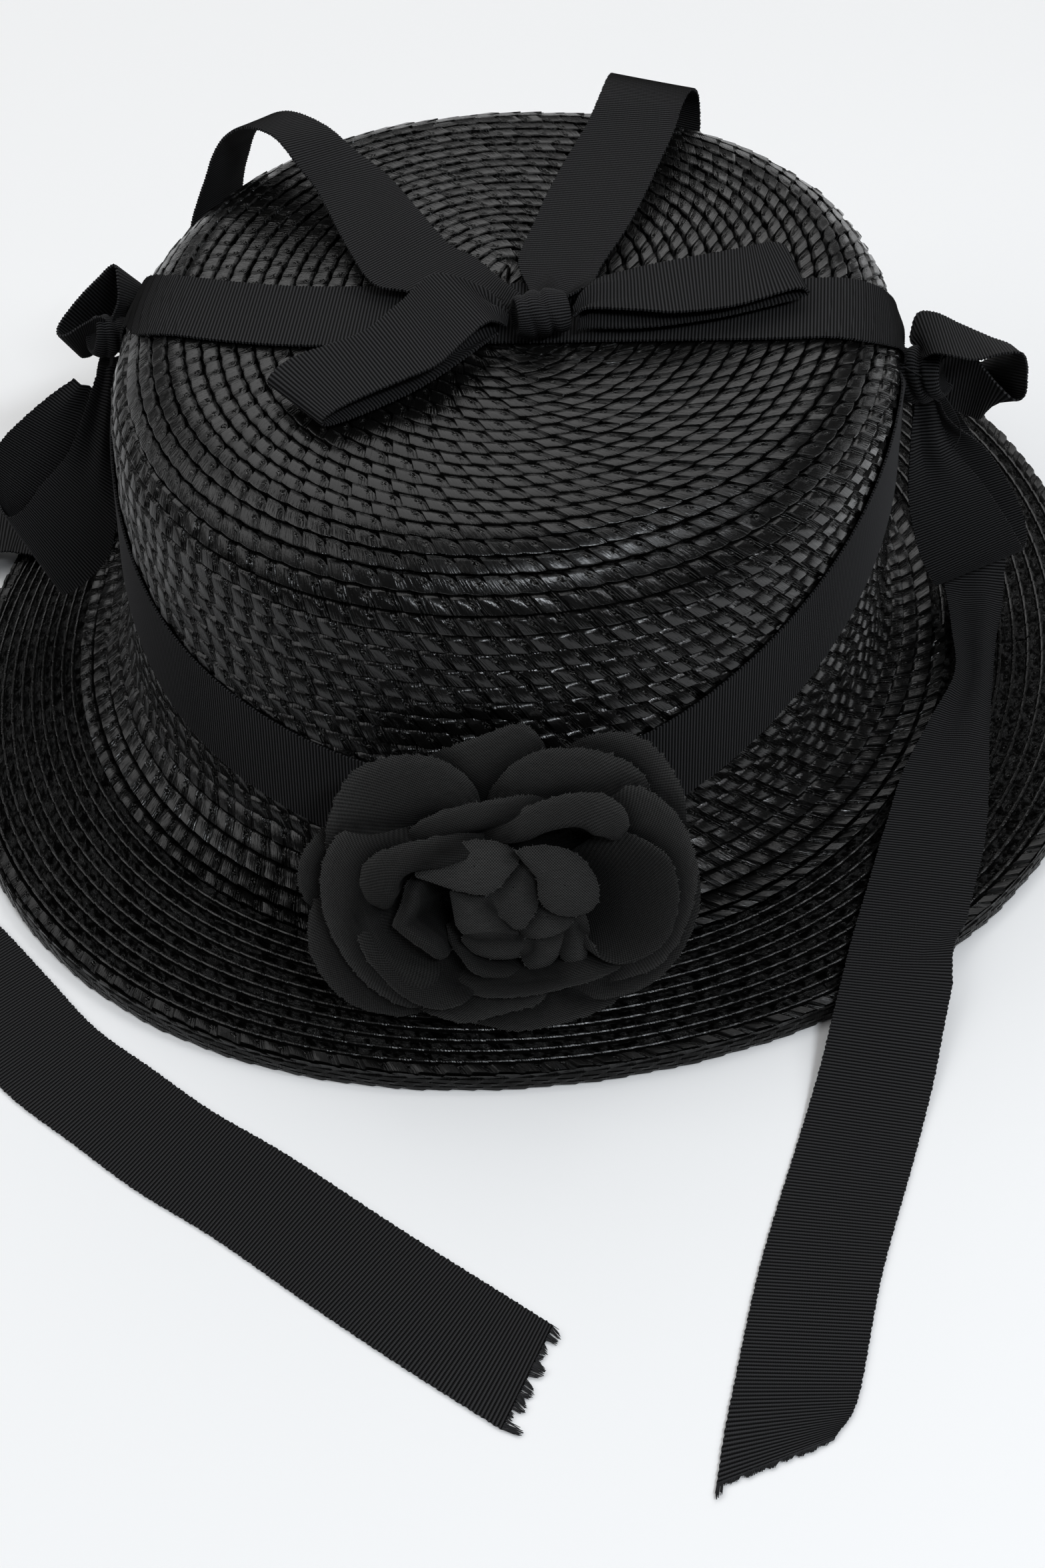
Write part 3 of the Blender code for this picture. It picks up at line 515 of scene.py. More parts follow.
# %% The turns on the brim
def brim_section(f, tone):
    cord = 0.83 + 0.09 * (f - 0.5) + 0.03 * np.sin(2 * math.pi * f)
    thick = 0.145 * (0.6 + 0.4 * np.sin(math.pi * (0.12 + 0.8 * f)))
    rise = 0.2 * np.sin(math.pi * (0.1 + 0.8 * f)) - 0.06 + 0.1 * (tone[:, :1] - 0.5)
    hole = np.interp(f, [0.1, 0.3, 0.7, 0.9], [0, 0.75, 0.75, 0])
    rough = 0.5 * (tone[:, 1:7] - 0.5)
    across = [-0.05, 0.1, 0.34, 0.56, *(cord + share * thick for share in (-1.1, -0.75, 0, 0.75, 1))]
    height = [
        -1.0,
        -0.5 - 0.6 * hole + rough[:, 0:1],
        -0.75 - hole + rough[:, 1:2],
        -0.8 - 0.6 * hole + rough[:, 2:3],
        -0.75,
        rise - 0.12,
        rise,
        rise - 0.14,
        -0.7,
    ]
    return stacked(across, rise), stacked(height, rise)


BRIM_WAY = ([0, 0.14, 0.4, 0.66, 0.92], brim_section, 0.3, brim_straw, BRIM_UNDER, 0.0)
brim_braid_inner = braid("brim_braid_inner", 44, 50, *BRIM_WAY)
brim_braid_outer = braid("brim_braid_outer", 50, 54.25, *BRIM_WAY)
brim_border = braid("brim_border", 54.25, 56, WALL_COLUMNS, wall_section, 0.4, border_straw)

# %% [markdown]
# ## The stacked edge
#
# Under the brim's edge lie two or three more turns, pressed together, and the hat rests on them.
# From the side they read as thin lines one above the other, so a ring with a rippled outer face is
# enough.

# %% The rows under the brim's edge
EDGE_FACETS, EDGE_STEPS = 170, 7
edge_section = np.array(
    # how far out from the brim's line, height, row of braid and where its facets start
    [
        (-8.5, 0.0, 0, 0.0),
        (-8.5, 2.6, 0, 0.0),
        (-0.8, 3.5, 0, 0.0),
        (0.0, 3.3, 1, 0.0),
        (0.1, 2.5, 1, 0.25),
        (-0.25, 2.4, 0, 0.0),
        (0.15, 2.25, 1, 0.55),
        (0.2, 1.45, 1, 0.8),
        (-0.2, 1.35, 0, 0.0),
        (0.15, 1.2, 1, 0.1),
        (0.2, 0.35, 1, 0.35),
        (-0.5, 0.0, 0, 0.0),
    ]
)
edge_place = np.arange(EDGE_FACETS * EDGE_STEPS)[:, None] / EDGE_STEPS
edge_facet = (edge_place + edge_section[:, 3]) % 1
edge_ripple = 0.34 * edge_facet + 0.1 * np.sin(edge_place * 1.7 + edge_section[:, 1])
edge_out = edge_section[:, 0] + edge_section[:, 2] * edge_ripple
edge_plan = oval(edge_place * 2 * math.pi / EDGE_FACETS, edge_out, **BRIM) + BRIM_MIDDLE
edge_height = np.broadcast_to(edge_section[:, 1], edge_out.shape)
brim_edge = new_piece(
    "brim_edge",
    np.concatenate([edge_plan, edge_height[..., None]], -1),
    grid_faces(len(edge_place) + 1, len(edge_section), closed=True) % edge_out.size,
    border_straw,
    together(edge_place, edge_height),
    np.repeat(chance.random(EDGE_FACETS), EDGE_STEPS)[:, None] * np.ones(len(edge_section)),
    sharp=35,
)

for piece, nodes in (
    (tip_braid, ["straw_crown"]),
    (shoulder_braid, ["straw_crown"]),
    (wall_braid, ["straw_crown", "straw_brim"]),
    (brim_braid_inner, ["straw_brim"]),
    (brim_braid_outer, ["straw_brim"]),
    (brim_border, ["straw_brim"]),
    (brim_edge, ["brim_edge_rows"]),
):
    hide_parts(*nodes)

# %% [markdown]
# ## Ribbon
#
# Grosgrain is woven with thick threads across it, so it has ribs 0.7 mm apart and edges that are
# finely scalloped. It bends easily along its length, hardly at all sideways, and where a knot
# draws it together it folds lengthwise. Each ribbon here is given by a few stations with its two
# edges. An even curve runs through them, and two rows of points are laid in every rib, one on its
# back and one in the groove. Where the two edges of a station are nearer to each other than the
# ribbon's width, the surplus goes into folds.

# %% Ribbon from its stations
RIBBON_WIDTH, RIB, RIBBON_THICK = 22.0, 0.71, 0.45
RIBBON_COLUMNS = np.array([-1.0, -0.86, -0.62, -0.34, 0.0, 0.34, 0.62, 0.86, 1.0])
ROWS_IN_RIB, RIB_LIFT = 2, 0.1
STRAW_GAP, TABLE_GAP, BRIM_HEIGHT = 1.0, 0.05, 12


def smooth_rows(rows, steps):
    """An even curve through the rows, whatever they hold."""
    rows = np.asarray(rows, float)
    rows = np.concatenate([[2 * rows[0] - rows[1]], rows, [2 * rows[-1] - rows[-2]]])
    before, start, end, after = rows[:-3, None], rows[1:-2, None], rows[2:-1, None], rows[3:, None]
    t = (np.arange(steps) / steps)[None, :].reshape(1, steps, *[1] * (rows.ndim - 1))
    bend = (end - before) * t + (2 * before - 5 * start + 4 * end - after) * t**2
    curve = start + (bend + (3 * (start - end) + after - before) * t**3) / 2
    return np.concatenate([curve.reshape(-1, *rows.shape[1:]), rows[-2:-1]])


def even_rows(rows, step):
    """Rows at even distances along the ribbon's middle."""
    curve = smooth_rows(rows, 14)
    middle = (curve[:, :3] + curve[:, 3:6]) / 2
    way = way_along(middle)
    return sampled(curve, way, np.linspace(0, way[-1], int(way[-1] / step) + 1)), way[-1]


def laid_on_straw(points, weights):
    """Draws points onto the straw, less the gap, as far as each one's weight says.

    Near the brim's edge the nearest face may be the underside, so its upper face is taken.
    """
    laid = points.copy()
    for index in zip(*np.nonzero(weights > 0.01)):
        place, normal, _, _ = form.find_nearest(Vector(points[index]))
        if normal.z < 0 and place.z > BRIM_HEIGHT:
            normal = -normal
        laid[index] = np.array(place) + np.array(normal) * STRAW_GAP
    return points + (laid - points) * np.clip(weights, 0, 1)[..., None]


def ribbon_grid(rows, on_straw=False):
    """(points, normals, length) of a flat ribbon's grid, before its ribs."""
    rows, length = even_rows(rows, RIB / ROWS_IN_RIB)
    middle, half = (rows[:, :3] + rows[:, 3:6]) / 2, (rows[:, 3:6] - rows[:, :3]) / 2
    width = 2 * np.linalg.norm(half, axis=1)
    half = half * np.minimum(1, RIBBON_WIDTH / width)[:, None]
    width = np.minimum(width, RIBBON_WIDTH)
    normal = unit(np.cross(np.gradient(middle, axis=0), half))
    points = middle[:, None] + half[:, None] * RIBBON_COLUMNS[None, :, None]
    if on_straw:
        weights = rows[:, 6] if rows.shape[1] > 6 else np.ones(len(rows))
        points = laid_on_straw(points, np.broadcast_to(weights[:, None], points.shape[:2]))
    surplus = np.maximum(RIBBON_WIDTH - width, 0)
    folds = np.sqrt(width * surplus) * 0.09 * np.clip((surplus - 4) / 8, 0, 1)
    shape = np.sin(RIBBON_COLUMNS * 1.5 * math.pi) * (1 - 0.3 * RIBBON_COLUMNS**2)
    return points + normal[:, None] * (folds[:, None] * shape)[..., None], normal, length


def ribbon(name, rows, on_straw=False):
    """A ribbed and scalloped sheet in place of the CAD node of the same name."""
    points, normal, length = ribbon_grid(rows, on_straw)
    rib = np.arange(len(points)) / ROWS_IN_RIB
    lift = RIB_LIFT * np.cos(2 * math.pi * rib)
    scallop = 0.11 * np.cos(1.18 * math.pi * rib) + 0.04 * np.sin(1.3 * rib)
    edge = unit(points[:, -1] - points[:, 0])
    points = points + normal[:, None] * lift[:, None, None]
    points[:, 0] -= edge * scallop[:, None]
    points[:, -1] += edge * scallop[:, None]
    points[..., 2] = np.maximum(points[..., 2], RIBBON_THICK / 2 + TABLE_GAP)
    places = together(rib[:, None], RIBBON_COLUMNS * RIBBON_WIDTH / 2)
    points, faces, cut = thick_sheet(points, RIBBON_THICK)
    piece = new_piece(name + "_grosgrain", points, faces, grosgrain, np.stack([places, places]), cut=cut)
    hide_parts(name)
    length * MM
    print(f"{name}: {length:.0f} mm of ribbon")


# %% [markdown]
# ## The ribbon's finish
#
# Grosgrain is matte. The ribs are in the mesh, and the bump adds the fine threads that cross them,
# which give every rib its row of tiny beads. The colour paints light and shade on them: lighter on
# each rib's back and bead, as lit, and darker down to a dark line in every groove, as shaded.

# %% Black grosgrain
grosgrain, value, shader = new_material("black grosgrain", (0.004, 0.004, 0.0042), 0.8, IOR=1.17)
rib, across = place_of(value)
BEAD = 0.3
beads = (across * (1 / BEAD) + (rib.math("FLOOR") * 0.5)).wave()
depth = (1.0 - rib.wave()) * 0.8 + beads * 0.35
normal = value.node("Bump", Height=depth, Strength=1.0, Distance=0.00014)
# Painted light and shade: the colour is lighter where the ribs and beads stand high and near black in the
# grooves.
shade = (depth - 0.28).math("MAXIMUM", 0.01) * 0.052
feed(shader, Normal=normal, Base_Color=shade.grey(1.0, 1.04))

# %% [markdown]
# ## The hatband
#
# The band goes round the crown at a slant: it is highest at the two side knots and dips to the rose
# at the front and again at the back. Its stations are a direction, a height and how much of its
# width is left where a knot draws it together.

# %% The band's two halves
BAND_GAP = 0.75
BAND_FRONT = (
    # direction, height, share
    (-191, 68, 0.40),
    (-184, 66, 0.75),
    (-170, 59, 1),
    (-155, 51, 1),
    (-140, 44.5, 1),
    (-122, 39, 1),
    (-106, 34.8, 1),
    (-90, 34.6, 1),
    (-74, 40.5, 1),
    (-60, 48.5, 1),
    (-48, 55, 1),
    (-34, 61, 1),
    (-20, 65.5, 1),
    (-8, 67.5, 0.75),
    (-1.5, 68.5, 0.40),
)
BAND_BACK = (
    # direction, height, share
    (6, 68.5, 0.40),
    (13, 66.5, 0.75),
    (26, 60, 1),
    (45, 48, 1),
    (66, 38, 1),
    (90, 35.5, 1),
    (112, 38, 1),
    (132, 48, 1),
    (147, 60, 1),
    (156, 66, 0.75),
    (162.5, 68, 0.40),
)


def band_rows(stations):
    """The band's two edges from directions, heights and shares of its width."""
    direction, height, share = smooth_rows(stations, 10).T
    angle = crown_angle(np.radians(direction))
    rows = []
    for side in (-1, 1):
        level = height + side * share * RIBBON_WIDTH / 2
        run = SHOULDER_END + TIP_HEIGHT - SHOULDER - level
        rows.append(straw_point(angle, run, np.full(len(angle), BAND_GAP)))
    return np.concatenate(rows, -1)


for name, stations in (("hatband_front", BAND_FRONT), ("hatband_back", BAND_BACK)):
    ribbon(name, band_rows(stations))

# %% [markdown]
# ## The bows
#
# Over the top lies one more ribbon from side to side, with a small bow on it. Each bow has two
# loops and tails, and the side bows' tails run down over the brim and out on the table. A loop's
# ribbon leaves the knot, turns over far out and comes back, so its stations do the same. Where a
# row has a last number, it says how much the ribbon lies on the straw there.

# %% The ribbon over the top and its bow
CROSS_RIBBON = (
    # one edge: x, y, z; other edge: x, y, z
    (-84, 26.5, 71, -85, 16.5, 70),
    (-83.5, 28.5, 78, -85, 11.5, 77),
    (-81.5, 25, 84.5, -83.5, 6.5, 84.5),
    (-77.5, 19, 90, -81, -2, 89),
    (-70, 13, 92.5, -73, -8.5, 92),
    (-54, 7.5, 93.5, -56, -14.5, 93.5),
    (-35, 4, 94, -37, -18, 94),
    (0, 2, 95, -1, -20, 95),
    (37, 0.5, 96, 35, -21.5, 96),
    (64, 0, 97, 61.5, -22, 97),
    (75, 1.5, 95, 72.5, -20.5, 95),
    (81, 4.5, 90, 79.5, -15.5, 90),
    (84, 7.5, 84.5, 83.5, -9, 84.5),
    (84.5, 9, 79, 84.5, -3.5, 79),
    (85, 9, 74, 85, 0.5, 74),
)
TOP_LOOP_LEFT = (
    # far edge: x, y, z; near edge: x, y, z
    (0.7, -17.6, 99.8, 0.7, -21.6, 99.8),
    (-5.3, -10, 101.3, -0.8, -22, 100.8),
    (-14.2, -5.5, 101.5, -4.4, -24.2, 101),
    (-21.5, -16, 101, -12.2, -36, 100.5),
    (-27.5, -23.5, 100, -19, -40, 99.5),
    (-34.6, -27, 99, -26, -43.5, 98.5),
    (-42, -30, 98, -31.5, -46.5, 97.5),
    (-46.3, -34.3, 96.6, -34.8, -48.6, 96.2),
    (-45.3, -34, 94.6, -34.2, -48.2, 94.6),
    (-36, -30, 95, -27.5, -45, 94.9),
    (-24, -24, 96, -16.5, -37.5, 95.6),
    (-13, -19.5, 97, -6.5, -28, 96.6),
    (-2, -18, 97.8, -1, -22.5, 97.8),
)
TOP_LOOP_RIGHT = (
    # far edge: x, y, z; near edge: x, y, z
    (14.3, -16.2, 100.4, 14.2, -20.4, 100.2),
    (18, -8, 101.3, 17.5, -19, 101),
    (27.5, -3.5, 101.3, 27.4, -19.5, 101.2),
    (35, -1.1, 101.3, 35.4, -20.2, 101.2),
    (47.9, 3.1, 101.2, 46.8, -17.9, 101.1),
    (56, 6, 101, 59, -11.8, 100.9),
    (59.3, 6.3, 99.8, 62, -10.8, 99.7),
    (57.5, 5.5, 98.4, 60.5, -11, 98.4),
    (47, 2, 98.1, 46.5, -16.5, 98.1),
    (35, -2.5, 98, 35.3, -19.3, 98),
    (27, -5, 97.9, 27, -20.3, 97.9),
    (19, -10.5, 97.9, 18.5, -19.5, 97.9),
    (15.2, -16, 98, 15, -20.5, 98),
)
TOP_TAIL_LEFT = (
    # near edge: x, y, z; far edge: x, y, z
    (1.3, -15, 98.8, 5.2, -12.6, 98.8),
    (-10.6, -10.2, 97.2, -1.4, 0.2, 97.2),
    (-20, -4.5, 97, -6, 8.5, 97),
    (-27.2, -1.2, 97, -11.4, 13.8, 97),
    (-33, 10.8, 98.5, -18.1, 26.1, 98),
    (-39.8, 28.2, 101.5, -25.5, 43, 97.2),
    (-44, 34.4, 104, -33, 52, 98.5),
    (-49.9, 42.9, 107, -40, 60, 100.5),
    (-56.5, 47.6, 107, -48, 66, 101),
    (-61.5, 49.4, 104, -54, 68.8, 98.5),
    (-65, 50, 99, -57.5, 70.5, 94),
    (-67.5, 50.5, 93, -59.5, 71.5, 88.5),
    (-70, 51.6, 87, -61.2, 72.6, 83),
    (-72.6, 53.5, 79, -62.6, 73.3, 76),
    (-74.6, 55.3, 66, -63.6, 74.1, 64),
    (-75.8, 56.3, 52, -64.4, 75, 51),
    (-76.5, 56.8, 36, -65, 75.5, 40),
)
TOP_TAIL_RIGHT = (
    # left edge: x, y, z; right edge: x, y, z
    (6.8, -12.5, 98.8, 11.2, -13, 98.8),
    (5, -3, 97.4, 18, -4, 97.4),
    (3.2, 6.7, 97.2, 21, 5, 97.4),
    (6.5, 19.9, 97.9, 26, 16.6, 98),
    (9.9, 32.2, 98.8, 30.5, 28.8, 99),
    (14.2, 44.9, 99.8, 34.5, 41.4, 100),
    (19, 57.2, 101.3, 38.5, 53.6, 101.5),
    (22, 67, 102.7, 41, 63.2, 103),
    (24.5, 78, 102.2, 43.5, 72, 102),
    (26.2, 87, 98.5, 45.8, 79.5, 97.5),
    (26.9, 92, 91.5, 47, 84, 90.5),
    (27.1, 95, 82, 47.6, 86.4, 81),
    (27.3, 96.3, 68, 48.1, 87.6, 67),
    (27.5, 97.2, 54, 48.4, 88.6, 53),
    (27.6, 97.8, 38, 48.7, 89.3, 42),
)
ribbon("cross_ribbon", CROSS_RIBBON, on_straw=True)
ribbon("top_loop_left", TOP_LOOP_LEFT)
ribbon("top_loop_right", TOP_LOOP_RIGHT)
ribbon("top_tail_left", TOP_TAIL_LEFT)
ribbon("top_tail_right", TOP_TAIL_RIGHT)

# %% The right-hand bow
RIGHT_UP_LOOP = (
    # near edge: x, y, z; far edge: x, y, z
    (90.5, 0, 75.9, 88.6, 11.7, 73.9),
    (91.4, -3, 79.1, 91, 16, 77),
    (94.3, -6, 80.6, 94.9, 15.3, 77.5),
    (99.8, -7, 80.1, 100.1, 14, 75.5),
    (104.9, -7, 81.5, 106.9, 12.6, 72.9),
    (109.1, -7, 81.6, 111.4, 11.7, 71.2),
    (110.7, -7, 79, 108.1, 11.6, 68.5),
    (111.3, -7, 75.2, 103.9, 11, 66),
    (111.5, -7, 71.1, 104.1, 11, 62),
    (109.4, -7, 69.8, 107.2, 10.2, 57.1),
    (105.5, -6, 73.2, 106.2, 7, 55.2),
    (101.3, -4, 77.6, 102.5, 5.9, 57.1),
    (97.4, -0.5, 77.8, 98.2, 3.7, 61.6),
    (94.1, 1.5, 75.2, 94.8, 4, 65.1),
)
RIGHT_DOWN_LOOP = (
    # left edge: x, y, z; right edge: x, y, z
    (89.8, 1.5, 64.1, 94, 1.5, 64.2),
    (88.8, -4.5, 55, 98, -3.5, 56),
    (90, -6, 42, 106, -4, 46),
    (94, -6, 28, 112.8, -4, 36),
    (98.3, -5.5, 19, 117.3, -4, 28.5),
    (100.2, -2.5, 15.8, 119.3, -1, 24.5),
    (101, 1.5, 17, 120.8, 4, 25.5),
    (98.5, 5, 27, 117.8, 7, 33),
    (94.8, 6, 42, 109, 7.5, 46.5),
    (91.8, 6, 54, 99.5, 6.5, 55.5),
    (91, 5, 61.5, 96, 5, 62),
)
RIGHT_TAIL = (
    # left edge: x, y, z; right edge: x, y, z; 1 where it lies on the straw
    (90.5, 8.7, 64.6, 95.5, 8.9, 64.8, 0),
    (92.5, 14, 52, 103, 13, 52, 0),
    (97.5, 15, 36, 113, 14, 36, 0),
    (101.5, 11, 21.5, 118, 11, 21.5, 0),
    (103, 0, 12, 117, 0, 10.5, 0.5),
    (102.5, -14, 10.5, 113, -15, 9.5, 1),
    (101, -28, 10.5, 110, -29, 9.5, 1),
    (93.5, -43, 10.5, 107, -43.5, 9.5, 1),
    (85, -60, 10.5, 104, -61, 9, 1),
    (79.5, -75, 9.5, 101, -76, 8, 1),
    (73.5, -91, 8, 96, -92.5, 6.5, 1),
    (69.3, -103, 6.6, 91.7, -105, 6.4, 0.5),
    (65.8, -114, 6.3, 88.3, -116, 5, 0),
    (62.8, -124, 5.3, 85, -126.5, 3.4, 0),
    (60, -133, 3, 82, -136.5, 1.7, 0),
    (56.5, -142.5, 1.1, 78.7, -146.5, 0.7, 0),
    (53.2, -152, 0.5, 75.2, -156, 0.5, 0),
    (44.2, -178, 0.5, 66.3, -180, 0.5, 0),
    (37, -204, 0.5, 59.3, -204, 0.5, 0),
    (31.5, -221, 0.5, 55.8, -211.5, 0.5, 0),
)
ribbon("right_up_loop", RIGHT_UP_LOOP)
ribbon("right_down_loop", RIGHT_DOWN_LOOP)
ribbon("right_tail", RIGHT_TAIL, on_straw=True)

# %% The left-hand bow
LEFT_UP_LOOP = (
    # near edge: x, y, z; far edge: x, y, z
    (-87, 22, 74.4, -85.8, 28.5, 70.3),
    (-86.1, 25, 76.8, -85, 37, 68.1),
    (-86.2, 28, 80.1, -84.2, 43.5, 67.9),
    (-86.7, 31, 82.5, -84.8, 46.8, 68.1),
    (-88.1, 31.5, 82.3, -86.7, 47.6, 68.1),
    (-90.9, 30, 80.2, -89.2, 45.3, 65.1),
    (-94.3, 28, 77.7, -92.4, 42.5, 61.9),
    (-97.6, 26, 74.7, -95.7, 40.7, 59.1),
    (-99.9, 23, 72.6, -97.9, 38, 57.3),
    (-99.8, 20.5, 71.8, -99, 35.5, 56.4),
    (-97.7, 19.5, 72.4, -97.7, 33.8, 57.1),
    (-93.5, 19, 75.3, -95, 30.3, 60.1),
    (-90.3, 19, 76.7, -92, 25.3, 65.4),
    (-88.7, 20, 75.4, -89.7, 23.3, 69.3),
)
LEFT_DOWN_LOOP = (
    # upper edge: x, y, z; lower edge: x, y, z
    (-91.6, 19.8, 63.8, -87.6, 19.6, 63.8),
    (-95.6, 10, 56, -88.7, 7.5, 50.5),
    (-98.8, 7, 49.8, -88.9, 3, 42.5),
    (-103, 6, 45, -90, 1, 32.5),
    (-109, 6, 38.5, -94, 0.5, 22),
    (-113.5, 6.5, 33.5, -101, 0.5, 14.8),
    (-116.5, 8.5, 30.5, -105.8, 2.5, 12.3),
    (-119, 12.5, 31.5, -106.5, 7.5, 14),
    (-120, 15, 39, -104, 11, 24),
    (-116.4, 15.3, 46.5, -99.5, 13, 33.5),
    (-111, 15.8, 52, -96.5, 14.5, 42.5),
    (-103.5, 16.5, 58, -93.8, 16, 52),
    (-97.5, 17.6, 61.8, -92.8, 17.6, 58.8),
)
LEFT_TAIL = (
    # hat's side: x, y, z; outer side: x, y, z; 1 where it lies on the straw
    (-87, 24.5, 63.2, -92, 26, 63.6, 0),
    (-90, 24, 51, -95, 33, 51, 0),
    (-94, 23, 36, -95, 40, 35, 0),
    (-99, 23, 19, -98, 43, 19, 0),
    (-107, 24, 10.8, -106, 45, 10.8, 0.5),
    (-116, 24.5, 9, -116, 46.5, 9, 1),
    (-125, 25, 7.2, -126.5, 47, 7.2, 0),
    (-133, 22.5, 4.8, -138, 44, 4.6, 0),
    (-139, 17, 1.8, -150.5, 36, 1.8, 0),
    (-142.5, 7, 0.5, -162, 18, 0.5, 0),
    (-143.5, -8, 0.5, -165.5, -6, 0.5, 0),
    (-142, -27, 0.5, -164, -31, 0.5, 0),
    (-136.5, -47, 0.5, -157, -55, 0.5, 0),
    (-128.5, -65, 0.5, -147, -77, 0.5, 0),
    (-117.5, -81, 0.5, -134.5, -95, 0.5, 0),
    (-105, -95, 0.5, -121.5, -109.5, 0.5, 0),
    (-94.6, -107.4, 0.5, -111, -122, 0.5, 0),
    (-83.4, -120.5, 0.5, -98.5, -136.5, 0.5, 0),
    (-70.9, -130.7, 0.5, -84.5, -148.5, 0.5, 0),
    (-58.5, -141, 0.5, -71, -159.5, 0.5, 0),
    (-43.2, -151.3, 0.5, -55.5, -170.5, 0.5, 0),
    (-24.4, -166, 0.5, -38, -184, 0.5, 0),
    (-10.2, -177, 0.5, -23, -195, 0.5, 0),
    (7, -188.5, 0.5, -3, -210.5, 0.5, 0),
)
ribbon("left_up_loop", LEFT_UP_LOOP)
ribbon("left_down_loop", LEFT_DOWN_LOOP)
ribbon("left_tail", LEFT_TAIL, on_straw=True)

# %% [markdown]
# ## The knots
#
# A knot is the same ribbon wound round the bow's middle. It is modelled as a short lumpy barrel,
# open at its ends, with two folds running round it and ribs that run from end to end.


# %% Wound ribbon
KNOT_STEPS, KNOT_RIBS = 132, 44
KNOT_PROFILE = (
    # place along the knot, share of the full radius
    (-0.75, 0.02),
    (-0.86, 0.62),
    (-0.97, 0.7),
    (-1, 0.78),
    (-0.96, 0.85),
    *((at, 0.86 + 0.14 * math.cos(at * math.pi / 2) ** 0.7) for at in np.linspace(-0.86, 0.86, 21)),
    (0.96, 0.85),
    (1, 0.78),
    (0.97, 0.7),
    (0.86, 0.62),
    (0.75, 0.02),
)


def knot(name, middle, half_size, turn):
    """A band round its own X, turned about Y and Z by the angles in degrees."""
    angle = np.linspace(0, 2 * math.pi, KNOT_STEPS, endpoint=False)[None, :]
    end, wide = np.array(KNOT_PROFILE).T[..., None]
    skew = end + 0.22 * np.sin(angle)
    folds = 1.0
    for depth, middle_line, breadth in ((0.16, 0.25, 0.13), (0.1, -0.4, 0.12)):
        folds = folds - depth * np.exp(-(((skew - middle_line) / breadth) ** 2))
    lumps = 1 + 0.07 * np.sin(2 * angle + 2.2 * end) + 0.04 * np.sin(3 * angle - 3.0 * end)
    ribs = 1 + 0.02 * np.cos(angle * KNOT_RIBS)
    wide = wide * folds * lumps * ribs
    points = together(end, wide * np.cos(angle), wide * np.sin(angle)) * half_size
    for (first, second), degrees in (((2, 0), turn[0]), ((0, 1), turn[1])):
        one, other = points[..., first].copy(), points[..., second].copy()
        cos, sin = math.cos(math.radians(degrees)), math.sin(math.radians(degrees))
        points[..., first], points[..., second] = one * cos - other * sin, one * sin + other * cos
    places = together(angle * KNOT_RIBS / (2 * math.pi), end * half_size[0])
    faces = grid_faces(len(KNOT_PROFILE), KNOT_STEPS, closed=True)
    piece = new_piece(name + "_wound", points + middle, faces, grosgrain, places)
    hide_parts(name)


# name, middle, half its size along, across and up, its turns
knot("top_knot", (7.5, -18.5, 100.2), (5.4, 5.2, 4.2), (0, 12))
knot("right_knot", (91.2, 2.6, 70.3), (5.2, 5.2, 6.2), (-16, -28))
knot("left_knot", (-88.7, 22.0, 70.4), (4.3, 4.1, 4.6), (18, 26))

# %% [markdown]
# ## Frayed ends
#
# Where a tail was cut, its long threads have come out of the weave and cling together in tufts. Each
# bare thread is a thin three-sided tube that starts just inside the ribbon's last row, and the
# threads of one tuft draw together towards their tips. A loose thread hangs from the right-hand
# knot as well.


# %% Bare threads
def strands(name, paths, thick, material, tone=1.0):
    """One mesh with a thin tube along each path of points."""
    points, faces = [], []
    for path in paths:
        path = smooth_rows(path, 3) if len(path) > 2 else np.asarray(path)
        way = unit(np.gradient(path, axis=0))
        side = unit(np.cross(way, (0.31, 0.2, 0.93)))
        other = np.cross(way, side)
        taper = thick * np.linspace(1, 0.6, len(path))[:, None, None]
        turn = (np.arange(3) * 2 * math.pi / 3)[None, :, None]
        faces.append(grid_faces(len(path), 3, closed=True) + sum(len(p) for p in points))
        tube = np.cos(turn) * side[:, None] + np.sin(turn) * other[:, None]
        points.append((path[:, None] + taper * tube).reshape(-1, 3))
    points = np.concatenate(points)
    points[:, 2] = np.maximum(points[:, 2], TABLE_GAP)
    piece = new_piece(name, points, np.concatenate(faces), material, tones=np.full(len(points), tone))


THREADS_IN_TUFT, THREAD_THICK = 45, 0.1


def frayed_end(name, rows, tufts, longest, corner):
    """Tufts of straight threads along the end, and one of longer ones at the corner (0 or 1)."""
    grid, _, _ = ribbon_grid(rows)
    last, way = grid[-1], unit(grid[-1, 4] - grid[-8, 4])
    across = (RIBBON_COLUMNS + 1) / 2
    paths = []
    for tuft in range(tufts + 1):
        extra = tuft == tufts
        middle = corner if extra else (tuft + chance.uniform(0.35, 0.65)) / tufts
        lean = chance.normal(0, 0.2, 3) * (1, 1, 0.1)
        length = longest * (1.5 if extra else chance.uniform(0.6, 1.0))
        for thread in chance.uniform(-0.55, 0.55, THREADS_IN_TUFT):
            shares = np.clip([middle + thread / tufts, middle + thread * 0.65 / tufts], 0, 1)
            start, tip = sampled(last, across, shares)
            start = start + (0, 0, chance.uniform(-0.15, 0.15)) - way * 0.4
            reach = length * chance.uniform(0.7, 1.0) * (1 - thread**2)
            paths.append([start, tip + (way + lean) * reach + chance.normal(0, 0.12, 3)])
    strands(name, paths, THREAD_THICK, grosgrain)


frayed_end("right_tail_threads", RIGHT_TAIL, 9, 1.5, 0)
frayed_end("left_tail_threads", LEFT_TAIL, 6, 2.6, 1)
LOOSE_THREAD = [(86, 0, 74), (93, -3.2, 71), (98.5, -3, 63), (100.2, -2, 57), (98.5, -1, 51)]
strands("loose_thread", [LOOSE_THREAD], 0.14, grosgrain)

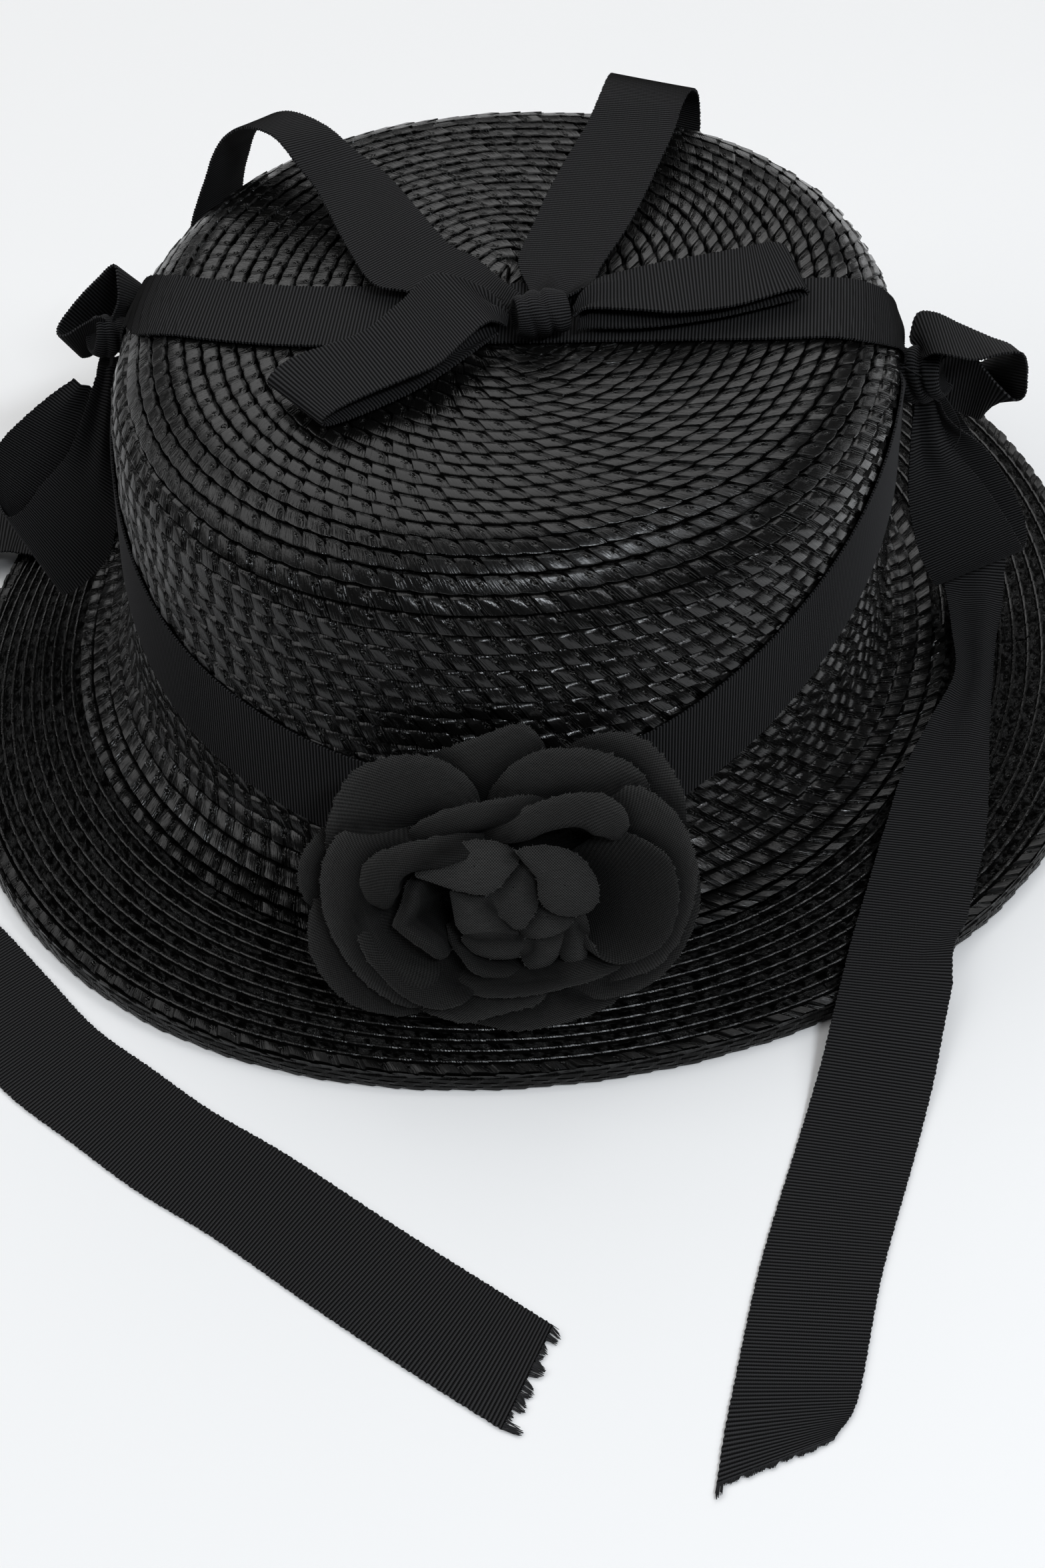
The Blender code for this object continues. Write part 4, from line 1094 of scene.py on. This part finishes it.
# %% [markdown]
# ## The rose
#
# The rose is made of round pieces of plain-woven cloth, gathered one inside the other. Seen from
# the front, what shows of a petal is the broad part between its cut rim and the crest where it
# turns down into the petal's cup. So a petal is described by the outline of its rim, by how far
# inside it the crest lies and how much higher, and by how deep its root is. Lengths are in the
# rose's own frame: to its right, up along its face, and out towards the viewer.

# %% The rose's frame and the petals' rims
ROSE_MIDDLE = np.array([-1.2, -114.7, 32.6])
rose_out = unit(np.array([0.0, -0.872, 0.489]))
rose_right = np.array([1.0, 0.0, 0.0])
rose_up = np.cross(rose_out, rose_right)
PETALS = (
    # name, rim's height, from the rim to the crest, the crest's rise, steepness, root's depth, rim
    (
        "petal_outer_left", -1, 6, 0.6, 0, -9,
        ((-30, 17), (-34.5, 13), (-38, 9), (-39.6, 4), (-38.5, -1), (-35, -5), (-30, -7)),
    ),
    (
        "petal_outer_right_top", -0.5, 7, 0.8, 0, -9,
        ((9, 24), (12.5, 28.2), (15.6, 30.3), (20.8, 31.4), (26.5, 30.1), (31.2, 25.2), (34.3, 18.7),
         (34.9, 12)),
    ),
    (
        "petal_outer_bottom_right", -1, 6, 0.6, 0, -9,
        ((-10, -24), (-7.8, -26.8), (-2.4, -28), (2.4, -28.6), (9.4, -27.3), (15.9, -25.7), (21.8, -22.6),
         (25, -18)),
    ),
    (
        "petal_outer_left_bottom", 0, 8, 1.2, 0, -8.5,
        ((-34, 6), (-35.6, 1.3), (-37.5, -4.2), (-37.8, -10.4), (-35.2, -16.6), (-30.1, -22.3),
         (-22.7, -24.7), (-17.3, -24.5), (-12, -22)),
    ),
    (
        "petal_outer_right_bottom", 0, 8, 1.2, 0, -8.5,
        ((36.5, 7), (37.6, 0.2), (36.6, -6.4), (33.4, -13.1), (28.1, -18.7), (20.1, -21.9), (13.7, -21.6),
         (9.5, -20.1)),
    ),
    (
        "petal_outer_top", 0.6, 6, 1.6, 0.1, -8,
        ((-15, 24), (-13.9, 27.1), (-9.7, 29.1), (-4.5, 31.2), (0.7, 33.1), (3.8, 33.4), (6.3, 31.6),
         (8.5, 27), (7, 22)),
    ),
    (
        "petal_second_bottom", 1.6, 7, 1, 0.1, -7.5,
        ((-19, -20), (-17.2, -23.2), (-13, -24.7), (-7.7, -25.6), (-3.4, -24.5), (1.4, -23.5), (5.7, -22.7),
         (8.1, -20.4), (9, -17)),
    ),
    (
        "petal_second_right_top", 2.2, 9, 1.6, 0.2, -7,
        ((-3.5, 16), (-2.6, 20.1), (-0.5, 23.3), (2.1, 26.2), (6.3, 28.5), (11.4, 29.2), (18.6, 28.3),
         (24.8, 25.3), (27.6, 21.2), (28, 16)),
    ),
    (
        "petal_second_left_top", 2.2, 11, 1.8, 0.2, -7,
        ((-33, 7), (-33.7, 12.4), (-32.2, 18.3), (-28.9, 24.2), (-24.7, 26.8), (-19, 28.2), (-12.8, 27.7),
         (-7.7, 24.7), (-4.9, 20.6), (-4.5, 15)),
    ),
    (
        "petal_second_right", 3.2, 7, 1.4, 0.2, -6.5,
        ((16, 17), (17.5, 20.6), (21.6, 21.9), (26.8, 21), (32, 17.2), (35.1, 11.7), (36.7, 5.2),
         (35.7, -1.9), (32.6, -10.2), (28, -15), (20, -18)),
    ),
    (
        "petal_second_left", 3.2, 8, 1.8, 0.3, -6.5,
        ((-15, 11), (-17.7, 14.7), (-22.9, 15.2), (-27.6, 14.8), (-31.5, 12.7), (-34, 8.4), (-34.8, 3.5),
         (-34.4, -2), (-32.5, -8.1), (-29.1, -14.3), (-23.9, -19.4), (-18.2, -22.3), (-13, -20)),
    ),
    (
        "petal_middle_left_bottom", 4.5, 3, 0.3, 0, -5.5,
        ((-25, 3), (-27.4, 0.4), (-28.2, -4.5), (-27.2, -9.5), (-23.7, -15.1), (-19.1, -19.7),
         (-13.9, -21.7), (-9.7, -21.2), (-6.4, -18.7), (-5.6, -13)),
    ),
    (
        "petal_middle_right", 6, 2, 0.1, 0, -5,
        ((20, 14), (22.8, 13.3), (27.2, 11.6), (31.4, 8.1), (32.9, 2.1), (32.4, -3.4), (30.4, -8.3),
         (26.2, -11.3), (22, -12.4), (18.3, -11.2), (16.3, -8.1), (14, -5)),
    ),
    (
        "petal_middle_top", 4.6, 4, 2.2, 0.5, -5,
        ((-17.5, 9), (-18, 11.9), (-17.4, 14.3), (-14.5, 16.4), (-9.8, 18.2), (-4.7, 19.5), (0.5, 20.3),
         (4.6, 20.5), (8.7, 19.6), (12, 17)),
    ),
    (
        "petal_middle_left", 6.3, 6.5, 4, 0.9, -4,
        ((1.2, 13.4), (-3.2, 13.2), (-8.8, 13.9), (-14, 13.2), (-19.2, 11.9), (-23.9, 10.1), (-26.3, 7.7),
         (-27.1, 4.5), (-26.2, 0.7), (-23.2, -1.5)),
    ),
    (
        "petal_middle_right_top", 6, 6.5, 4, 0.9, -4,
        ((-5.5, 12.6), (-0.6, 16.2), (4.6, 18.8), (9.7, 20.6), (14.3, 21.2), (18.9, 20.9), (22.2, 18.6),
         (23.6, 15.4), (22.5, 12)),
    ),
    (
        "petal_middle_bottom", 5.5, 4, 1.4, 0.5, -4,
        ((-10, -16.5), (-6.4, -19), (-1, -19.2), (6.3, -18.4), (12.5, -17.2), (18.3, -15.6), (22.2, -13.5),
         (21, -11.5)),
    ),
    (
        "petal_inner_left", 6.5, 2.5, 1.6, 0.6, -3,
        ((-13, 8), (-17.9, 4.7), (-19.3, 0.6), (-21.1, -3.7), (-20.2, -5), (-16.1, -8.4), (-12.5, -11.4),
         (-10.4, -9.6)),
    ),
    (
        "petal_inner_bottom", 6, 1.5, 0.6, 0.5, -3,
        ((-11, -5), (-10.4, -8.2), (-8.3, -11), (-6.3, -13.6), (-2, -15.4), (5, -15.6), (10, -14.4)),
    ),
)

BUD = (
    # name, height of its middle, how far its rim drops, its rise to the right and upwards, outline
    (
        "petal_inner_top", 9.7, 0.9, (0.05, -0.3),
        ((-16.2, 6.2), (-15.4, 8.2), (-11.5, 10.9), (-7.8, 12.4), (-3.7, 12.9), (0.6, 12), (2.8, 9.8),
         (1.3, 7), (-2.3, 3.6), (-5, 3.2), (-10.8, 4.4)),
    ),
    (
        "petal_inner_right", 10, 1.3, (-0.26, 0.05),
        ((2.5, 11.5), (6, 12.6), (10.8, 11.8), (14.7, 9.1), (17.2, 5), (17.8, 0.9), (15.8, -1.6),
         (12, -2.1), (8.6, -0.6), (6.6, 2.2), (6, 6.8)),
    ),
    (
        "bud_low", 6.5, 0.8, (-0.15, 0.1),
        ((3, -4), (7.4, -5), (11.5, -4.5), (11.6, -8.3), (8, -13.2), (4.7, -13.4), (2.6, -9)),
    ),
    (
        "bud_low_right", 5.6, 0.9, (-0.2, 0),
        ((10, -3), (13.6, -1), (15.8, -5), (15.1, -12.8), (12, -12.6), (10, -9.5)),
    ),
    (
        "bud_curl", 7, 0.9, (0, 0.25),
        ((-8.2, -7.2), (-6, -4.6), (0, -5.4), (4.8, -7.6), (5, -9.6), (2, -11.2), (-3, -11.2),
         (-6.8, -9.4)),
    ),
    (
        "bud_right", 7.7, 0.8, (0, -0.2),
        ((1.8, -3.1), (4.5, 1.6), (8.5, 0.9), (12.8, -1.2), (12.2, -4.3), (8, -6.3), (3.2, -6)),
    ),
    (
        "bud_top", 8.9, 0.8, (0.1, -0.05),
        ((-7.8, 4.5), (-3.7, 7.4), (0.5, 8.6), (3.2, 9.6), (5.4, 7.6), (6.6, 2.4), (5.3, -1.6), (2.2, -4.4),
         (-3, 0.5)),
    ),
    (
        "bud_left", 8.1, 0.9, (-0.05, 0.24),
        ((-10.3, 3.4), (-6, 2.6), (-1.8, 1), (1.6, -2.8), (3.6, -6.6), (-1, -6.8), (-6.6, -6.4),
         (-9.4, -3.2)),
    ),
)
RIMS = [(row[1], smooth_rows(row[-1], 12)) for row in (*PETALS, *BUD)]


def rose_points(local):
    """Points in the rose's own frame, as points about the crown's axis."""
    right, up, out = (local[..., axis : axis + 1] for axis in range(3))
    return ROSE_MIDDLE + right * rose_right + up * rose_up + out * rose_out


# %% [markdown]
# A rim is sampled again at short even steps, so that its cut edge can be a little ragged. Four
# lines make the petal, its root, its inner wall, its crest and its rim, and the same even curve
# that smooths the ribbons runs from line to line. Under the rim of a higher petal hardly any light
# arrives, so each piece also carries how far it lies in such a shade, and that shade is painted
# into its colour, together with a painted shade towards its root and a painted light at its rim.


# %% A petal
CLOTH_THICK, SHADE_REACH, RIM_STEP, TUCK_REACH = 0.35, 3.4, 0.65, 11.0
# how fast the crest leaves the rim at a petal's first end, and at any other end, in millimetres
SLOW_STARTS, SHORT_START = {"petal_middle_left": 18.0, "petal_middle_right_top": 15.0}, 7.0
# painted light and shade: how much lighter or darker the cloth is painted at shares of the way from
# a piece's root or middle to its rim, darker deep in a petal's cup and lighter at a rim
PAINTED_LIGHT_SHARES = [0, 0.35, 0.66, 0.9, 1]
PETAL_PAINTED_LIGHT, BUD_PAINTED_LIGHT = [0.05, 0.15, 0.75, 1.15, 2.0], [2.0, 1.9, 1.8, 1.5, 2.4]
cut_rims = []


def painted_rim_shade(local, level):
    """The painted shade under higher rims: from 0 right under the rim of a higher piece to 1 well away from
    any.
    """
    above = [rim for height, rim in RIMS if height > level + 0.2]
    above = np.concatenate(above or [np.full((1, 2), 99.0)])
    near = [np.linalg.norm(row[:, None, :2] - above[None], axis=-1).min(1) for row in local]
    return np.clip(np.array(near) / SHADE_REACH, 0, 1) ** 0.7


def cloth_piece(name, local, level, nodes, closed=False):
    """A cloth piece from a grid in the rose's frame: rows from the root or middle to the rim."""
    if closed:
        places = local[..., :2]
    else:
        steps = np.linalg.norm(np.diff(local, axis=0), axis=2)
        ahead = np.concatenate([np.zeros((1, local.shape[1])), np.cumsum(steps, 0)])
        sideways = unit(local[-1, -1] - local[-1, 0])
        places = np.stack([(local - local[-1].mean(0)) @ sideways, ahead], -1)
    points, faces, cut = thick_sheet(rose_points(local), CLOTH_THICK, closed)
    share = np.linspace(0, 1, len(local))
    # Painted shade towards the root and painted light at the rim.
    tone = np.interp(share, PAINTED_LIGHT_SHARES, BUD_PAINTED_LIGHT if closed else PETAL_PAINTED_LIGHT)[:, None]
    # Painted shade: the cloth is darkened under the rim of any higher piece.
    tone = tone * chance.uniform(0.88, 1.08) * (0.08 + 0.92 * painted_rim_shade(local, level))
    places, tones = np.stack([places, places]), np.stack([tone, tone])
    piece = new_piece(name + "_cloth", points, faces, rose_cloth, places, tones, cut=cut)
    if nodes:
        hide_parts(*nodes)
    rim, inside = rose_points(local[-1]), rose_points(local[-2])
    cut_rims.append((rim, unit(rim - inside)))
    outwards, along = np.diff(local, axis=0), np.diff(local, axis=1)
    area = np.linalg.norm(np.cross(outwards[:, :-1], along[:-1]), axis=-1).sum()
    return area


def petal(name, out, flare, rise, steep, depth, outline):
    """A petal from a row of the table above; gives back its area."""
    outline = smooth_rows(outline, 12)
    way = way_along(outline)
    count = int(way[-1] / RIM_STEP)
    places = np.linspace(0, way[-1], count)
    rim = sampled(outline, way, places)
    share = np.linspace(0, 1, count)
    wave = np.sin(share * 2 * math.pi * 1.5 + chance.uniform(0, 6)) * 0.5
    reach = np.linalg.norm(rim, axis=1, keepdims=True)
    left = way[-1] - places
    ends = np.minimum(places / SLOW_STARTS.get(name, SHORT_START), left / SHORT_START)
    ends = np.clip(ends, 0, 1)[:, None] ** 0.6
    tuck = 2.6 * (1 - np.clip(np.minimum(places, left) / TUCK_REACH, 0, 1)) ** 1.6
    flare, rise = flare * ends, (rise * ends)[:, 0]
    crest = rim * (1 - np.minimum(flare / reach, 0.6))
    wall_height = (out + rise) * (0.55 - 0.2 * steep) + depth * (0.45 + 0.2 * steep)
    lines = [
        np.c_[rim * 0.12, np.full(count, depth)],
        np.c_[crest * (0.55 + 0.35 * steep), wall_height],
        np.c_[crest, out + rise + wave * 0.4 - tuck],
        np.c_[rim, out + wave - tuck],
    ]
    local = smooth_rows(lines, 4)
    ragged = chance.normal(0, 0.11, count)[:, None]
    local[-1] += unit(local[-1] - local[-2]) * ragged
    return cloth_piece(name, local, out, [name])


# %% [markdown]
# ## Matte cloth
#
# The petals are plain weave: each thread goes over one and under the next, nearly four threads to
# the millimetre, which gives a fine check of little bumps. The colour paints light and shade on the
# check, lighter where a thread rises and darker between threads. The cloth has faded to a soft charcoal.

# %% The rose's cloth
rose_cloth, value, shader = new_material("charcoal cloth", (0.02, 0.02, 0.0195), 0.9, IOR=1.25)
TWO_THREADS = 0.54
(sideways, ahead), tone_and_painted_light = place_of(value), tone_of(value)
one, other = sideways * (1 / TWO_THREADS), ahead * (1 / TWO_THREADS)
weave = one.wave() * other.wave() + (1.0 - one.wave()) * (1.0 - other.wave())
slubs = value.node("CombineXYZ", X=sideways * 0.35, Y=other * 3.0)
slubs = value.node("TexNoise", Vector=slubs, Scale=1.0, Detail=2.0)
normal = value.node("Bump", Height=weave + slubs * 0.6, Strength=1.0, Distance=0.00022)
# Painted light and shade: the weave's colour is lighter where its threads rise and darker between them.
shade = (weave * 0.031 + slubs * 0.016 - 0.0075).math("MAXIMUM", 0.0005)
# Painted light and shade: the tone carries each piece's painted shade towards its root and under higher
# rims, its painted light at its rim, and a random tone of its own.
shade = shade * (tone_and_painted_light * 0.9 + 0.05)
feed(shader, Normal=normal, Base_Color=shade.grey(0.99, 0.96))

areas = [petal(*row) for row in PETALS]
print("the petals hold", round(sum(areas) / 100), "square centimetres of cloth")

# %% [markdown]
# ## The bud
#
# In the middle eight small pieces of cloth are wrapped round a padded heart, which is also what all
# the petals are sewn to. Each piece is a low dome over its own outline, tilted its own way.


# %% The heart and the pieces over it
def dome(name, top, drop, tilt, outline):
    """A piece of the bud from a row of its table."""
    loop = smooth_rows([*outline[-2:], *outline, *outline[:2]], 9)[18:-18][:-1]
    middle = loop.mean(0)
    lines = []
    for share in (0.02, 0.35, 0.7, 0.92, 1.0):
        ring = middle + (loop - middle) * share
        lines.append(np.c_[ring, top - drop * share**3 + (ring - middle) @ tilt])
    local = smooth_rows(lines, 3)
    local[-1, :, :2] += (loop - middle) * chance.normal(0, 0.016, len(loop))[:, None]
    return cloth_piece(name, local, top, [name] if name.startswith("petal") else [], closed=True)


HEART_PROFILE = (
    # radius, height
    (0, -17),
    (3, -17),
    (3, -9),
    (9, -7),
    (15.5, -3),
    (16, -1),
    (11, -2),
    (9, 0.5),
    (8, 3),
    (5.5, 4.6),
    (3, 5),
    (0, 5.2),
)
radius, level = smooth_rows(HEART_PROFILE, 3).T[..., None]
HEART_STEPS = 48
turn = np.linspace(0, 2 * math.pi, HEART_STEPS, endpoint=False)[None, :]
heart = together(radius * np.cos(turn) + 1.5, radius * 0.85 * np.sin(turn) - 1.5, level)
heart_faces = grid_faces(*heart.shape[:2], closed=True)
# Painted shade: the heart lies deep under the bud and petals, so its cloth is painted dark.
heart_painted_shade = np.full(heart.shape[:2], 0.25)
rose_heart = new_piece(
    "rose_heart", rose_points(heart), heart_faces, rose_cloth, heart[..., :2], heart_painted_shade
)
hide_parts("rose_bud", "rose_stem")
for row in BUD:
    dome(*row)

# %% [markdown]
# Every cut rim also sheds the ends of its crossing threads, which show as a fine fuzz along it.
# They are short straight hairs, two or three to each millimetre, painted paler than the cloth as a
# painted light along the lit rims.

# %% The rims' loose thread ends
# Painted light: the hairs' tone makes them paler than the cloth, as lit.
HAIRS_PER_POINT, HAIR_THICK, HAIR_PAINTED_LIGHT = 1.5, 0.085, 2.2
hairs = []
for rim, outwards in cut_rims:
    for _ in range(int(HAIRS_PER_POINT * len(rim))):
        place = chance.integers(0, len(rim) - 1)
        start = rim[place] + (rim[place + 1] - rim[place]) * chance.random()
        reach = outwards[place] * chance.uniform(0.08, 0.34) + chance.normal(0, 0.09, 3)
        hairs.append([start - outwards[place] * 0.15, start + reach])
strands("rim_hairs", hairs, HAIR_THICK, rose_cloth, HAIR_PAINTED_LIGHT)

# %% [markdown]
# ## The table and the light
#
# The hat stands on a plain pale table in a soft white room. A black shiny thing is drawn by what it
# mirrors. A very large ceiling light above and behind the hat gives most of the light and the wide
# sheen on the top, a wall of the room lights the left side, a low wide window in front gives the
# bluish line along the shoulder, and a narrow lamp on the right picks out the wall's facets.

# %% The floor and the lights
floor_mesh = bpy.data.meshes.new("floor")
floor_mesh.from_pydata([(-3, -3, 0), (3, -3, 0), (3, 3, 0), (-3, 3, 0)], [], [(0, 1, 2, 3)])
floor = bpy.data.objects.new("floor", floor_mesh)
floor_mesh.materials.append(new_material("pale table", (0.895, 0.895, 0.895), 0.6)[0])
bpy.context.scene.collection.objects.link(floor)

world = bpy.data.worlds.new("soft white room")
bpy.context.scene.world = world
world.use_nodes = True
world.node_tree.nodes["Background"].inputs["Color"].default_value = (0.97, 0.98, 1.0, 1.0)
world.node_tree.nodes["Background"].inputs["Strength"].default_value = 0.07


def soft_light(name, place, target, size, power, colour):
    light = bpy.data.lights.new(name, "AREA")
    light.shape, light.size, light.size_y, light.energy, light.color = "RECTANGLE", *size, power, colour
    lamp = bpy.data.objects.new(name, light)
    lamp.location = place
    lamp.rotation_euler = (Vector(target) - Vector(place)).to_track_quat("-Z", "Y").to_euler()
    bpy.context.scene.collection.objects.link(lamp)


# name, place, what it shines at, size, power, colour
soft_light("ceiling light", (0.1, 1.5, 1.45), (0.1, 0.9, 0), (2.8, 2.5), 30.5, (1.0, 1.0, 1.0))
soft_light("wall of the room", (-1.15, -0.15, 1.0), (0, 0, 0.05), (1.5, 1.1), 9, (1.0, 1.0, 1.0))
soft_light("window", (0.5, -0.8, 1.1), (0.02, -0.05, 0.07), (0.5, 0.12), 8.5, (0.9, 0.95, 1.0))
soft_light("lamp on the right", (1.05, -0.25, 0.95), (0, 0, 0.06), (0.1, 0.7), 4.0, (0.95, 0.97, 1.0))

# %% [markdown]
# ## The camera
#
# The camera looks down at the hat from the front at 44 degrees, from about half a metre away,
# with a normal lens on an upright frame, and is turned by less than a degree.

# %% The camera
CAMERA_PLACE = Vector((0.014982, -0.356015, 0.3395))
LOOKS_DOWN, ROLL = math.radians(44.417), math.radians(-0.791)
level, rise = Vector((1, 0, 0)), Vector((0, math.sin(LOOKS_DOWN), math.cos(LOOKS_DOWN)))
camera_right = math.cos(ROLL) * level + math.sin(ROLL) * rise
camera_up = math.cos(ROLL) * rise - math.sin(ROLL) * level
lens = bpy.data.cameras.new("camera")
lens.sensor_fit, lens.sensor_height, lens.lens = "VERTICAL", 36.0, 50.0
lens.clip_start, lens.clip_end = 0.01, 20.0
camera = bpy.data.objects.new("camera", lens)
turned = (camera_right, camera_up, camera_right.cross(camera_up))
for row in range(3):
    for column in range(3):
        camera.matrix_world[row][column] = turned[column][row]
camera.location = CAMERA_PLACE
bpy.context.scene.collection.objects.link(camera)
bpy.context.scene.camera = camera
bpy.context.scene.view_settings.view_transform = "Standard"
